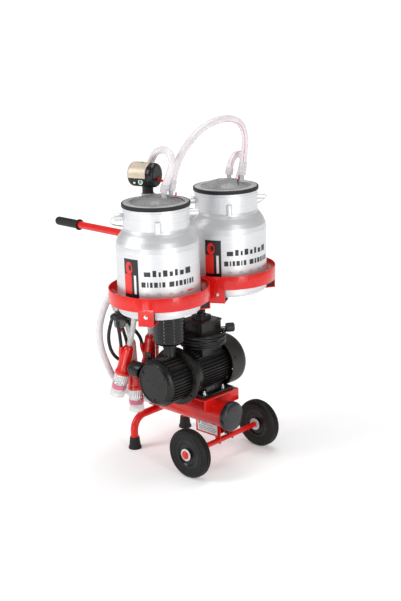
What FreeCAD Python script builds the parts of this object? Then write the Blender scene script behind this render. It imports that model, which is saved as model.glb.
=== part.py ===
import FreeCAD, Part
import math
import os
import Sketcher
from FreeCAD import Placement, Rotation, Vector

# Mobile bucket milking machine: a red tubular cart on two wheels and two rubber feet carries a
# vacuum tank, an electric vacuum pump, two milk cans in hoops, and one cluster of four teat cups.
# +X runs from the push handle to the wheels, +Y along the axle, +Z up.  The floor is z = 0.

DIMENSIONS = {
    # cart
    "half_length": 538.5, "wheel_radius": 100, "wheel_width": 48, "tyre_depth": 42,
    "axle_x": 438.5, "axle_radius": 11, "wheel_offset": 206, "cap_radius": 16,
    "leg_x": 60.5, "leg_offset": 151, "leg_tube_radius": 16, "cross_tube_level": 137,
    "leg_bend_radius": 60, "foot_height": 50, "foot_top_radius": 20, "foot_base_radius": 27.5,
    "tank_radius": 57.5, "tank_wall": 3, "tank_level": 201, "tank_rear": 70, "tank_front": 484,
    "column_x": 42.5, "column_radius": 20, "column_wall": 2.5,
    "handle_level": 869, "handle_radius": 15.5, "grip_start": -388.5, "grip_radius": 19,
    "plate_width": 176, "plate_length": 202, "plate_level": 270, "plate_gauge": 4,
    "plate_flange": 50, "plate_near_edge": -77,
    # cans and their hoops
    "can_x": 290.5, "can_offset": 196, "can_radius": 160, "can_wall": 3, "can_bottom": 662,
    "neck_radius": 126.6, "neck_top": 1071, "gasket_radius": 131.4, "gasket_height": 15,
    "hoop_radius": 195.8, "hoop_gauge": 4, "hoop_bottom": 705, "hoop_height": 54,
    "tab_width": 60, "lug_level": 1035, "bail_wire_radius": 3, "bail_reach": 168,
    # motor and pump
    "motor_x": 315.5, "motor_level": 378, "fin_tip_radius": 90, "fin_root_radius": 82,
    "motor_bore": 72, "cover_radius": 105, "flange_radius": 117, "shaft_radius": 12,
    "pump_fin_radius": 97, "pump_root_radius": 90, "pump_bore": 62, "bore_offset": 6,
    "bearing_radius": 26, "canister_radius": 64, "canister_bottom": 523, "canister_height": 122,
    "outlet_radius": 32, "box_side": 110, "box_top": 575, "box_wall": 4,
    # hoses and cables
    "hose_radius": 13.5, "pulse_tube_radius": 7, "milk_tube_radius": 11,
    "coil_inner": 80.5, "coil_outer": 104, "coil_level": 484, "coil_height": 44,
    # cluster
    "claw_x": 100, "claw_y": -237, "claw_level": 600, "claw_radius": 38,
}

doc = FreeCAD.newDocument("MilkingMachine")
sheet = doc.addObject("Spreadsheet::Sheet", "Dims")
for row, (alias, value) in enumerate(DIMENSIONS.items(), start=1):
    sheet.set("A%d" % row, alias)
    sheet.set("B%d" % row, str(value))
    sheet.setAlias("B%d" % row, alias)
doc.recompute()


class Size(float):
    """A length that also remembers the spreadsheet expression that gives it."""

    def __new__(cls, value, text):
        size = float.__new__(cls, value)
        size.text = text
        return size

    def __add__(self, other):
        return Size(float(self) + float(other), "(%s + %s)" % (self.text, expression(other)))

    def __sub__(self, other):
        return Size(float(self) - float(other), "(%s - %s)" % (self.text, expression(other)))

    def __mul__(self, other):
        return Size(float(self) * float(other), "(%s * %s)" % (self.text, expression(other)))


def expression(value):
    return value.text if isinstance(value, Size) else repr(float(value))


def dim(alias):
    return Size(float(sheet.get(alias)), "Dims." + alias)


def bind(thing, name, value):
    """Set a property of an object, by expression when the value comes from the sheet."""
    if isinstance(value, Size):
        thing.setExpression(name, value.text)
    else:
        setattr(thing, name, value)


# ---- placements -------------------------------------------------------------------------------

X, Y, Z = Vector(1, 0, 0), Vector(0, 1, 0), Vector(0, 0, 1)


def at(x, y, z, direction=Z):
    """Placement whose origin is (x, y, z) and whose own Z axis points along direction."""
    return Placement(Vector(x, y, z), Rotation(Z, Vector(direction)))


def turned_about(centre, angle, axis=Z):
    """Placement that turns by angle degrees about an axis through centre."""
    return Placement(Vector(0, 0, 0), Rotation(axis, angle), Vector(centre))


# ---- building blocks --------------------------------------------------------------------------

def box(name, corner, length, width, height, turn=None):
    part = doc.addObject("Part::Box", name)
    bind(part, "Length", length)
    bind(part, "Width", width)
    bind(part, "Height", height)
    part.Placement = Placement(Vector(*corner), Rotation())
    if turn:
        part.Placement = turn.multiply(part.Placement)
    return part


def cylinder(name, place, radius, height):
    part = doc.addObject("Part::Cylinder", name)
    bind(part, "Radius", radius)
    bind(part, "Height", height)
    part.Placement = place
    return part


def cut(name, base, tool):
    part = doc.addObject("Part::Cut", name)
    part.Base = base
    part.Tool = tool
    return part


def fuse(name, parts):
    part = doc.addObject("Part::MultiFuse", name)
    part.Shapes = parts
    part.Refine = True
    return part


def common(name, parts):
    part = doc.addObject("Part::MultiCommon", name)
    part.Shapes = parts
    return part


def group(name, parts):
    """Separate solids that share one node."""
    part = doc.addObject("Part::Compound", name)
    part.Links = parts
    return part


def feature(name, shape, place=None):
    part = doc.addObject("Part::Feature", name)
    part.Shape = shape
    if place:
        part.Placement = place
    return part


def origin_plane(body, role):
    return [item for item in body.Origin.OriginFeatures if item.Role == role][0]


def draw_outline(sketch, outline):
    """Closed outline of straight edges; every corner is dimensioned from the sketch's origin."""
    count = len(outline)
    for index, corner in enumerate(outline):
        following = outline[(index + 1) % count]
        start = Vector(float(corner[0]), float(corner[1]), 0)
        end = Vector(float(following[0]), float(following[1]), 0)
        sketch.addGeometry(Part.LineSegment(start, end), False)
    for index in range(count):
        sketch.addConstraint(Sketcher.Constraint("Coincident", index, 2, (index + 1) % count, 1))
    for index, corner in enumerate(outline):
        for kind, value, axis in (("DistanceX", corner[0], -2), ("DistanceY", corner[1], -1)):
            if float(value) == 0:
                sketch.addConstraint(Sketcher.Constraint("PointOnObject", index, 1, axis))
                continue
            made = sketch.addConstraint(Sketcher.Constraint(kind, -1, 1, index, 1, float(value)))
            if isinstance(value, Size):
                sketch.setExpression("Constraints[%d]" % made, value.text)


def turned(name, outline, place):
    """Body turned about its own Z axis from an outline of (radius, height) corners."""
    body = doc.addObject("PartDesign::Body", name)
    sketch = body.newObject("Sketcher::SketchObject", name + "_outline")
    sketch.AttachmentSupport = [(origin_plane(body, "XZ_Plane"), "")]
    sketch.MapMode = "FlatFace"
    draw_outline(sketch, outline)
    turn = body.newObject("PartDesign::Revolution", name + "_turn")
    turn.Profile = sketch
    turn.ReferenceAxis = (sketch, ["V_Axis"])
    turn.Angle = 360
    body.Tip = turn
    body.Placement = place
    return body


def extruded(name, outline, depth, place):
    """Body padded along its own Z axis from an outline of (x, y) corners."""
    body = doc.addObject("PartDesign::Body", name)
    sketch = body.newObject("Sketcher::SketchObject", name + "_outline")
    sketch.AttachmentSupport = [(origin_plane(body, "XY_Plane"), "")]
    sketch.MapMode = "FlatFace"
    draw_outline(sketch, outline)
    pad = body.newObject("PartDesign::Pad", name + "_pad")
    pad.Profile = sketch
    bind(pad, "Length", depth)
    body.Tip = pad
    body.Placement = place
    return body


def tube_ring(name, place, outer, inner, height):
    return cut(name, cylinder(name + "_outer", place, outer, height),
               cylinder(name + "_inner", place, inner, height))


def rounded_path(points, bend=None):
    """Wire of straight runs joined by tangent arcs, and the smallest arc radius.

    Each arc is as large as its two runs allow, unless bend gives one radius for all."""
    points = [Vector(*point) for point in points]
    edges, smallest = [], float("inf")
    previous = points[0]
    for before, corner, after in zip(points, points[1:], points[2:]):
        into, out = corner - before, after - corner
        half_turn = into.getAngle(out) / 2
        shorter = min(into.Length, out.Length)
        radius = bend or 0.45 * shorter / math.tan(half_turn)
        smallest = min(smallest, radius)
        setback = radius * math.tan(half_turn)
        into.normalize()
        out.normalize()
        start, end = corner - into * setback, corner + out * setback
        inward = (out - into).normalize()
        middle = corner + inward * (radius / math.cos(half_turn) - radius)
        edges.append(Part.LineSegment(previous, start).toShape())
        edges.append(Part.Arc(start, middle, end).toShape())
        previous = end
    edges.append(Part.LineSegment(previous, points[-1]).toShape())
    return Part.Wire(edges), smallest


def tube_along(name, points, radius, bend=None, bore=0):
    """Round bar or tube swept along a rounded path."""
    path, smallest = rounded_path(points, bend)
    heading = Vector(*points[1]) - Vector(*points[0])
    solids = []
    for size in (radius, bore):
        if size:
            section = Part.Wire(Part.makeCircle(float(size), Vector(*points[0]), heading))
            solids.append(path.makePipeShell([section], True, True))
    solid = Part.Solid(solids[0]) if solids[0].ShapeType == "Shell" else solids[0]
    if bore:
        solid = solid.cut(solids[1])
    else:
        expected = math.pi * float(radius) ** 2 * path.Length
        print("%-20s length %7.1f  smallest radius %6.1f  volume ratio %.4f"
              % (name, path.Length, smallest, solid.Volume / expected))
    return feature(name, solid)


SUBPARTS = []


def subpart(thing):
    """Keep an object as one named piece of the machine."""
    SUBPARTS.append(thing)
    return thing


# ---- cart -------------------------------------------------------------------------------------

leg_x, leg_offset = dim("leg_x"), dim("leg_offset")
cross_level, foot_height = dim("cross_tube_level"), dim("foot_height")
tank_radius, tank_level = dim("tank_radius"), dim("tank_level")
column_x, column_radius = dim("column_x"), dim("column_radius")
axle_x, wheel_radius = dim("axle_x"), dim("wheel_radius")
FOOT_FLOOR = 12


def make_vacuum_tank():
    """Red steel cylinder along X with a dished rear end, saddled onto the leg frame."""
    wall, length = dim("tank_wall"), dim("tank_front") - dim("tank_rear")
    outline = [(0, 0), (tank_radius - 12, 0), (tank_radius - 3, 3), (tank_radius, 12),
               (tank_radius, length), (tank_radius - wall, length),
               (tank_radius - wall, 22), (0, 18)]
    shell = turned("tank_shell", outline, at(dim("tank_rear"), 0, tank_level, X))
    side_port = cylinder("tank_side_port", at(130, -50, tank_level, -Y), 11, 40)
    elbow = cylinder("tank_elbow", at(130, -79, tank_level, -X), 11, 18)
    saddle = cylinder("tank_saddle", at(leg_x, -120, cross_level, Y), dim("leg_tube_radius"), 240)
    return subpart(cut("vacuum_tank", fuse("tank_with_port", [shell, side_port, elbow]), saddle))


def make_tank_end_cap():
    """Black rubber cap pushed over the open front end of the tank."""
    outline = [(0, 18), (0, 29), (28, 28), (48, 25), (58, 21), (61, 15), (61, 0),
               (tank_radius, 0), (tank_radius, 18)]
    return subpart(turned("tank_end_cap", outline,
                          at(dim("tank_front") - 18, 0, tank_level, X)))


def make_leg_frame():
    """One bent tube: a leg down at each side and the cross tube under the tank between them."""
    route = [(leg_x, -leg_offset, FOOT_FLOOR), (leg_x, -leg_offset, cross_level),
             (leg_x, leg_offset, cross_level), (leg_x, leg_offset, FOOT_FLOOR)]
    return subpart(tube_along("leg_frame", route, dim("leg_tube_radius"),
                              bend=dim("leg_bend_radius"), bore=dim("leg_tube_radius") - 2))


def make_foot_tips():
    """Flared rubber tips that the leg ends stand in."""
    tube = dim("leg_tube_radius")
    outline = [(0, 0), (dim("foot_base_radius"), 0), (dim("foot_base_radius"), 6),
               (24, 14), (dim("foot_top_radius"), foot_height), (tube, foot_height),
               (tube, FOOT_FLOOR), (0, FOOT_FLOOR)]
    tips = [turned("foot_tip_%s" % side, outline, at(leg_x, sign * leg_offset, 0))
            for side, sign in (("near", -1), ("far", 1))]
    return subpart(group("foot_tips", tips))


def make_column():
    """Upright tube with its welded shoe, the push-handle tube and the arm under the hoops."""
    top = dim("handle_level") + 20
    foot = 176
    post = cylinder("column_post", at(column_x, 0, foot), column_radius, top - foot)
    shoe = box("column_shoe", (24, -26, 150), dim("tank_rear") - 24, 52, 104)
    handle = cylinder("handle_tube", at(column_x, 0, dim("handle_level"), -X),
                      dim("handle_radius"), column_x + 530)
    arm = box("hoop_arm", (column_x, -15, 665), dim("can_x") + 40 - column_x, 30, 40)
    solid = fuse("column_weldment", [post, shoe, handle, arm])
    bore = cylinder("column_bore", at(column_x, 0, 262), column_radius - dim("column_wall"),
                    top - 262 - 6)
    handle_bore = cylinder("handle_bore", at(column_x - column_radius - 2, 0,
                                             dim("handle_level"), -X),
                           dim("handle_radius") - 2, 520)
    arm_bore = box("hoop_arm_bore", (column_x + column_radius + 2, -13, 667),
                   dim("can_x") + 60 - column_x, 26, 36)
    saddle = cylinder("column_saddle", at(leg_x, -120, cross_level, Y),
                      dim("leg_tube_radius"), 240)
    hollow = fuse("column_hollow", [bore, handle_bore, arm_bore, saddle])
    return subpart(cut("column", solid, hollow))


def make_handle_grip():
    """Rubber grip: a collar, a round sleeve with a closed end, and finger ridges underneath."""
    length = dim("half_length") + dim("grip_start")
    inner, outer = dim("handle_radius"), dim("grip_radius")
    outline = [(inner, 0), (24, 0), (24, 8), (outer, 12), (outer, length - 4),
               (outer - 4, length), (0, length), (0, length - 7), (inner, length - 7)]
    sleeve = turned("grip_sleeve", outline,
                    at(dim("grip_start"), 0, dim("handle_level"), -X))
    notches = [cylinder("grip_notch_%d" % index,
                        at(dim("grip_start") - 26 - 13 * index, -20,
                           dim("handle_level") - outer - 3, Y), 5, 40)
               for index in range(9)]
    return subpart(cut("handle_grip", sleeve, fuse("grip_notches", notches)))


def make_axle():
    """Axle rod with a pressed cap on each end, outside the wheels."""
    reach = dim("wheel_offset") + dim("wheel_width") * 0.5 + 1
    rod = cylinder("axle_rod", at(axle_x, -reach, wheel_radius, Y), dim("axle_radius"), reach * 2)
    cap = [(0, 0), (dim("cap_radius"), 0), (dim("cap_radius"), 4), (12, 8), (0, 9)]
    caps = [turned("axle_cap_%s" % side, cap, at(axle_x, sign * reach, wheel_radius, Y * sign))
            for side, sign in (("near", -1), ("far", 1))]
    return subpart(fuse("axle", [rod] + caps))


def make_axle_bracket():
    """Folded saddle that carries the axle under the tank: two cheeks and a web."""
    cheek = [(0, 12), (106, 12), (106, 0), (116, -14), (134, -14), (134, 62), (0, 62)]
    cheeks = [extruded("bracket_cheek_%s" % side, cheek, 4,
                       at(314, y, wheel_radius, -Y)) for side, y in (("near", -36), ("far", 40))]
    for body in cheeks:
        body.Placement = Placement(body.Placement.Base, Rotation(X, 90))
    web = box("bracket_web", (314, -36, wheel_radius + 12), 106, 72, 4)
    tank = cylinder("bracket_saddle", at(300, 0, tank_level, X), tank_radius, 160)
    bore = cylinder("bracket_bore", at(axle_x, -50, wheel_radius, Y), dim("axle_radius"), 100)
    return subpart(cut("axle_bracket", fuse("bracket_solid", cheeks + [web]),
                       fuse("bracket_cutters", [tank, bore])))


def make_drain_valve():
    """Small valve screwed into the underside of the tank."""
    outline = [(4, 0), (6, 0), (6, 10), (9, 10), (9, 22), (4, 22)]
    body = turned("drain_body", outline, at(455, 0, 122))
    lever = box("drain_lever", (455, -22, 128), 5, 22, 6)
    bore = cylinder("drain_bore", at(455, 0, 121), 4, 24)
    tank = cylinder("drain_saddle", at(440, 0, tank_level, X), tank_radius, 50)
    return subpart(cut("drain_valve", fuse("drain_solid", [body, lever]),
                       fuse("drain_cutters", [bore, tank])))


def make_motor_plate():
    """Inverted channel welded over the tank; the motor stands on it."""
    gauge, top = dim("plate_gauge"), dim("plate_level")
    near, length = dim("plate_near_edge"), dim("plate_length")
    left = dim("motor_x") - dim("plate_width") * 0.5
    right = dim("motor_x") + dim("plate_width") * 0.5
    sheet_top = box("plate_top", (left, near, top - gauge), dim("plate_width"), length, gauge)
    flanges = [box("plate_flange_%d" % index, (x, near, top - dim("plate_flange")), gauge,
                   length, dim("plate_flange"))
               for index, x in enumerate((left, right - gauge))]
    tank = cylinder("plate_saddle", at(200, 0, tank_level, X), tank_radius, 240)
    return subpart(cut("motor_plate", fuse("plate_solid", [sheet_top] + flanges), tank))


def make_wheel(side, sign):
    """Solid rubber tyre with two grooves on a black rim that turns on the axle."""
    width, tread = dim("wheel_width"), dim("wheel_radius")
    inner = dim("wheel_radius") - dim("tyre_depth")
    half = width * 0.5
    tyre = [(inner, 4), (inner + 8, 2), (tread - 14, 1), (tread - 5, 5), (tread - 1, 12),
            (tread, 17), (tread - 2.5, 18), (tread - 2.5, 20), (tread, 21), (tread, width - 21),
            (tread - 2.5, width - 20), (tread - 2.5, width - 18), (tread, width - 17),
            (tread - 1, width - 12), (tread - 5, width - 5), (tread - 14, width - 1),
            (inner + 8, width - 2), (inner, width - 4)]
    hub = dim("axle_radius") + 0.05
    rim = [(hub, 1), (25, 1), (25, 10), (44, 12), (50, 6), (inner, 4), (inner, width - 4),
           (50, width - 6), (44, width - 12), (25, width - 10), (25, width - 1),
           (hub, width - 1)]
    place = at(axle_x, sign * dim("wheel_offset") - half, wheel_radius, Y)
    subpart(turned("tyre_" + side, tyre, place))
    subpart(turned("wheel_rim_" + side, rim, place))


# ---- cans, hoops, lids and pulsator -----------------------------------------------------------

can_x, can_radius, can_bottom = dim("can_x"), dim("can_radius"), dim("can_bottom")
LUG_ANGLE = 54
TAB_ANGLES = {"near": (-60, 60, 150), "far": (-60, 60, -150)}


def make_can(side, sign):
    """Spun aluminium can with a straight neck, two round bail lugs and a half-round rib."""
    wall, neck = dim("can_wall"), dim("neck_radius")
    centre = (can_x, dim("can_offset") * sign, 0)
    height = dim("neck_top") - can_bottom
    outer = [(148, 0), (156, 3), (can_radius, 12), (can_radius, 260), (158, 276), (150, 294),
             (138, 312), (129, 322), (neck, 330), (neck, height - 6), (neck + 2, height - 5),
             (neck + 2, height)]
    inner = [(neck - wall, height), (neck - wall, 329), (126, 320), (135.5, 309.5), (147, 293),
             (155, 275), (can_radius - wall, 259), (can_radius - wall, 13), (154, 6), (147, 3)]
    shell = turned("can_shell_" + side, [(0, 0)] + outer + inner + [(0, 3)],
                   at(centre[0], centre[1], can_bottom))
    pieces = [shell]
    holes = []
    lug = dim("lug_level")
    for index in (0, 1):
        turn = turned_about(centre, LUG_ANGLE + 180 * index)
        pieces.append(cylinder("can_lug_%s_%d" % (side, index),
                               turn.multiply(at(can_x + neck - 1.5, centre[1], lug, X)), 14, 34))
        holes.append(cylinder("can_lug_bore_%s_%d" % (side, index),
                     turn.multiply(at(can_x + 141, centre[1], lug, X)),
                     dim("bail_wire_radius") + 0.05, 30))
    turn = turned_about(centre, LUG_ANGLE - 96)
    rib = cylinder("can_rib_round_" + side,
                   turn.multiply(at(can_x + neck - 2, centre[1], lug - 46)), 12, 42)
    inside = cylinder("can_rib_clearance_" + side, at(*centre[:2], lug - 50), neck - 1.5, 50)
    pieces.append(cut("can_rib_" + side, rib, inside))
    return subpart(cut("can_" + side, fuse("can_solid_" + side, pieces),
                       fuse("can_bores_" + side, holes)))


def bail_path(route):
    """Wire path of a bail: hooked ends, straight legs and wide round shoulders."""
    points = [Vector(*point) for point in route]
    hook, shoulder = 8, 95
    edges, previous = [], points[0]
    for before, corner, after, radius in zip(points, points[1:], points[2:],
                                             (hook, shoulder, shoulder, hook)):
        into, out = (corner - before).normalize(), (after - corner).normalize()
        start, end = corner - into * radius, corner + out * radius
        middle = corner + (out - into).normalize() * radius * (math.sqrt(2) - 1)
        edges.append(Part.LineSegment(previous, start).toShape())
        edges.append(Part.Arc(start, middle, end).toShape())
        previous = end
    edges.append(Part.LineSegment(previous, points[-1]).toShape())
    return Part.Wire(edges)


def make_bail(side, sign):
    """Wire carrying handle, folded back on the can's shoulder."""
    reach, lug, wire = dim("bail_reach"), dim("lug_level"), dim("bail_wire_radius")
    centre = Vector(can_x, dim("can_offset") * sign, lug)
    along = Vector(math.cos(math.radians(LUG_ANGLE)), math.sin(math.radians(LUG_ANGLE)), 0)
    back = Vector(-along.y, along.x, 0)
    drop = math.radians(-25)
    fall = back * math.cos(drop) + Z * math.sin(drop)
    steps = ((143, 0), (168, 0), (168, reach), (-168, reach), (-168, 0), (-143, 0))
    route = [tuple(centre + along * across + fall * float(out)) for across, out in steps]
    path = bail_path(route)
    section = Part.Wire(Part.makeCircle(float(wire), Vector(*route[0]), along))
    bail = path.makePipeShell([section], True, True)
    return subpart(feature("bail_" + side, bail))


def make_hoop(side, sign):
    """Flat steel hoop round the can with three tabs turned in under it."""
    radius, gauge, bottom = dim("hoop_radius"), dim("hoop_gauge"), dim("hoop_bottom")
    centre = (can_x, dim("can_offset") * sign, 0)
    band = tube_ring("hoop_band_" + side, at(centre[0], centre[1], bottom), radius,
                     radius - gauge, dim("hoop_height"))
    pieces = [band]
    tab = dim("tab_width")
    seat = can_bottom - 11
    for index, angle in enumerate(TAB_ANGLES[side]):
        turn = turned_about(centre, angle)
        edge = centre[1] - tab * 0.5
        pieces.append(box("hoop_tab_%s_%d" % (side, index), (can_x + radius - gauge, edge, seat),
                          gauge, tab, bottom - seat + 12, turn))
        pieces.append(box("hoop_seat_%s_%d" % (side, index), (can_x + 125, edge, seat),
                          radius - 125, tab, gauge, turn))
    return subpart(fuse("hoop_" + side, pieces))


def make_hoop_pads():
    """Rubber blocks on the tabs, under and beside the cans."""
    pads = []
    for side, sign in (("near", -1), ("far", 1)):
        centre = (can_x, dim("can_offset") * sign, 0)
        can = cylinder("pad_clearance_" + side, at(centre[0], centre[1], can_bottom),
                       can_radius + 0.3, 60)
        for index, angle in enumerate(TAB_ANGLES[side]):
            block = box("pad_block_%s_%d" % (side, index),
                        (can_x + 128, centre[1] - 25, can_bottom - 7),
                        dim("hoop_radius") - dim("hoop_gauge") - 128, 50, 48,
                        turned_about(centre, angle))
            pads.append(cut("pad_%s_%d" % (side, index), block, can))
    return subpart(group("hoop_pads", pads))


def make_frame_bolts():
    """Domed bolt heads on the hoop tabs and the motor's hold-down nuts."""
    dome = [(0, 0), (7.5, 0), (7.5, 1.5), (6, 1.5), (6, 4), (4, 6), (0, 6.5)]
    nut = [(0, 0), (9, 0), (9, 2), (7.5, 2), (7.5, 9), (4, 9), (4, 16), (0, 16)]
    bolts = []
    for side, sign in (("near", -1), ("far", 1)):
        centre = (can_x, dim("can_offset") * sign, 0)
        for index, angle in enumerate(TAB_ANGLES[side]):
            place = at(can_x + dim("hoop_radius"), centre[1], 688, X)
            bolts.append(turned("tab_bolt_%s_%d" % (side, index), dome,
                                turned_about(centre, angle).multiply(place)))
    for index, (x, y) in enumerate(FOOT_BOLTS):
        bolts.append(turned("foot_nut_%d" % index, nut, at(x, y, FOOT_TOP)))
    return subpart(group("frame_bolts", bolts))


def make_lid(side, sign, spigots):
    """Clear dished lid with stub pipes for the hoses; a rubber gasket seats it on the neck."""
    neck, top = dim("neck_radius"), dim("neck_top")
    centre = (can_x, dim("can_offset") * sign, top)
    rim = dim("gasket_radius") - 5
    dome = [(0, 41), (30, 40), (60, 33), (85, 15.5), (rim, 15.5), (rim, 12), (88, 12),
            (82, 10), (58, 29), (29, 36), (0, 37)]
    pieces = [turned("lid_dome_" + side, dome, at(*centre))]
    for index, (x, y) in enumerate(spigots):
        pieces.append(cylinder("lid_spigot_%s_%d" % (side, index),
                               at(x, y, top + 26), 9, SPIGOT_TOP - top - 26))
    bores = [cylinder("lid_spigot_bore_%s_%d" % (side, index), at(x, y, top + 5), 6.5, 60)
             for index, (x, y) in enumerate(spigots)]
    subpart(cut("lid_" + side, fuse("lid_solid_" + side, pieces),
                fuse("lid_bores_" + side, bores)))
    outer = dim("gasket_radius")
    ring = [(rim - 3, 0), (outer - 2, 0), (outer, 2), (outer, 13), (outer - 2, 15), (rim, 15),
            (rim, 12), (neck - 12, 12), (neck - 12, -8), (neck - 4, -8), (neck - 4, 0)]
    return subpart(turned("gasket_" + side, ring, at(*centre)))


PULSATOR = Vector(250.5, -196, 1183)
PULSATOR_TURN = 16
PULSATOR_REACH = 66


def make_pulsator():
    """Drum-shaped pneumatic pulsator lying on its side on a short neck over the near lid."""
    axis = Vector(math.cos(math.radians(PULSATOR_TURN)), math.sin(math.radians(PULSATOR_TURN)), 0)
    drum = [(0, 0), (36, 0), (43, 5), (46, 12), (46, 82), (44, 84), (44, 88), (46, 90),
            (46, 100), (42, 108), (34, 110), (0, 110)]
    start = PULSATOR - axis * PULSATOR_REACH
    body = turned("pulsator_drum", drum, at(start.x, start.y, start.z, axis))
    neck = cylinder("pulsator_neck", at(PULSATOR.x, PULSATOR.y, 1106), 20.5, 50)
    lid_top = turned("pulsator_clear", [(0, 0), (62, 0), (62, 23), (60, 33.5), (30, 40.5),
                                        (0, 41.5)], at(can_x, -dim("can_offset"),
                                                       dim("neck_top")))
    nipple = cylinder("pulsator_nipple", at(PULSATOR.x + 38, PULSATOR.y + 14, 1164, X), 5, 26)
    return subpart(cut("pulsator", fuse("pulsator_solid", [body, neck, nipple]), lid_top))


# ---- motor and pump ---------------------------------------------------------------------------

motor_x, motor_level = dim("motor_x"), dim("motor_level")
MOTOR_FOOT_GAUGE = 12
FOOT_TOP = dim("plate_level") + MOTOR_FOOT_GAUGE
FOOT_BOLTS = ((258.5, -45), (372.5, -45), (258.5, 62), (372.5, 62))
SPIGOT_TOP = 1123


def along_motor(y):
    """Placement on the motor's axis at y, its own Z axis along +Y."""
    return at(motor_x, y, motor_level, Y)


def finned(name, y, length, tip, root, spacing, gauge):
    """Round housing with parallel cooling fins that run along its axis."""
    fins = []
    for index in range(-5, 6):
        offset = index * spacing
        fins.append(box("%s_side_fin_%d" % (name, index + 5),
                        (motor_x - tip, y, motor_level + offset - gauge / 2), tip * 2, length,
                        gauge))
        fins.append(box("%s_top_fin_%d" % (name, index + 5),
                        (motor_x + offset - gauge / 2, y, motor_level - tip), gauge, length,
                        tip * 2))
    ribs = common(name + "_ribs", [fuse(name + "_fins", fins),
                                   cylinder(name + "_tips", along_motor(y), tip, length)])
    return fuse(name + "_finned", [ribs, cylinder(name + "_core", along_motor(y), root, length)])


def make_motor_housing():
    """Finned motor casing with its cast foot and the rear bearing wall."""
    y, length = -80, 155
    casing = finned("motor", y, length, dim("fin_tip_radius"), dim("fin_root_radius"), 12, 3.2)
    base = box("motor_base", (240, -62, dim("plate_level")), 151, 167, MOTOR_FOOT_GAUGE)
    pedestal = box("motor_pedestal", (268, -28, FOOT_TOP), 95, 100, 60)
    bore = cylinder("motor_bore", along_motor(y), dim("motor_bore"), 141)
    seat = cylinder("rear_seat", along_motor(50), dim("bearing_radius"), 40)
    cowl = cylinder("cowl_clearance", along_motor(75.2), dim("cover_radius") + 0.3, 40)
    return subpart(cut("motor_housing", fuse("motor_solid", [casing, base, pedestal]),
                       fuse("motor_hollow", [bore, seat, cowl])))


def make_end_bell():
    """Bell between motor and pump with the large flange and the front bearing seat."""
    shaft, seat = dim("shaft_radius") + 0.05, dim("bearing_radius")
    outline = [(shaft, 0), (dim("flange_radius"), 0), (dim("flange_radius"), 18), (106, 22),
               (88, 55), (88, 70), (74, 70), (74, 40), (34, 34), (seat, 34), (seat, 20),
               (shaft, 20)]
    return subpart(turned("end_bell", outline, along_motor(-150)))


def make_fan_cover():
    """Rounded sheet-steel cowl over the cooling fan, with an air grille in its end."""
    outer = dim("cover_radius")
    outline = [(outer, 0), (outer, 66), (103, 78), (96, 88), (84, 95), (0, 95), (0, 92.5),
               (83, 92.5), (94.5, 86), (100.8, 77), (outer - 2.5, 65.5), (outer - 2.5, 0)]
    cowl = turned("cowl", outline, along_motor(75.5))
    slots = []
    for ring_radius, count in ((22, 8), (40, 14), (58, 20)):
        for index in range(count):
            angle = 2 * math.pi * index / count
            slots.append(cylinder("cowl_hole_%d_%d" % (ring_radius, index),
                                  at(motor_x + ring_radius * math.cos(angle), 160,
                                     motor_level + ring_radius * math.sin(angle), Y), 4.5, 20))
    return subpart(cut("fan_cover", cowl, fuse("cowl_holes", slots)))


def make_stator():
    return subpart(tube_ring("stator", along_motor(-55), dim("motor_bore") - 0.1, 46, 100))


def make_bearings():
    """Front and rear ball bearings as plain rings."""
    rings = [tube_ring("bearing_" + side, along_motor(y), dim("bearing_radius"),
                       dim("shaft_radius") + 0.05, 14) for side, y in (("front", -130),
                                                                       ("rear", 61))]
    return subpart(group("bearings", rings))


def make_rotor():
    """Everything that spins: shaft, rotor core, cooling fan, pump rotor and its vanes."""
    shaft = dim("shaft_radius")
    subpart(cylinder("rotor_shaft", along_motor(-241), shaft, 368))
    subpart(tube_ring("rotor_core", along_motor(-55), 45, shaft, 100))
    hub = tube_ring("fan_hub", along_motor(88), 24, shaft, 32)
    disc = tube_ring("fan_disc", along_motor(88), 86, 20, 4)
    blades = [box("fan_blade_%d" % index, (motor_x + 22, 90, motor_level - 1.5), 64, 28, 3,
                  turned_about((motor_x, 0, motor_level), 45 * index, Y)) for index in range(8)]
    subpart(fuse("cooling_fan", [hub, disc] + blades))
    core = tube_ring("pump_rotor_core", along_motor(-241), 55, shaft, 90.5)
    slots, vanes = [], []
    for index in range(4):
        turn = turned_about((motor_x, 0, motor_level), 90 * index + 45, Y)
        slots.append(box("vane_slot_%d" % index, (motor_x + 24, -242, motor_level - 2.6), 40,
                         93, 5.2, turn))
        vanes.append(box("vane_%d" % index, (motor_x + 25, -240.5, motor_level - 2.5), 29.5,
                         89.5, 5, turn))
    subpart(cut("pump_rotor", core, fuse("vane_slots", slots)))
    subpart(group("pump_vanes", vanes))


REGULATOR = (226, -208)


def make_pump_housing():
    """Finned pump cylinder with its eccentric bore, the inlet neck and the regulator boss."""
    y, length = -245, 95
    casing = finned("pump", y, length, dim("pump_fin_radius"), dim("pump_root_radius"), 13, 4.5)
    neck = cylinder("inlet_neck", at(motor_x, -176, 440), 24.5, dim("canister_bottom") - 440)
    collar = cylinder("inlet_collar", at(motor_x, -176, 448), 31, 14)
    boss = cylinder("regulator_boss", at(REGULATOR[0], REGULATOR[1], 405), 13, 45)
    bore = cylinder("pump_bore", at(motor_x, y, motor_level + dim("bore_offset"), Y),
                    dim("pump_bore"), length)
    way = cylinder("inlet_way", at(motor_x, -176, 400), 12, 130)
    flange = box("bell_clearance", (motor_x - 40, -150, 440), 80, 20, 60)
    return subpart(cut("pump_housing", fuse("pump_solid", [casing, neck, collar, boss]),
                       fuse("pump_hollow", [bore, way, flange])))


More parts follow.
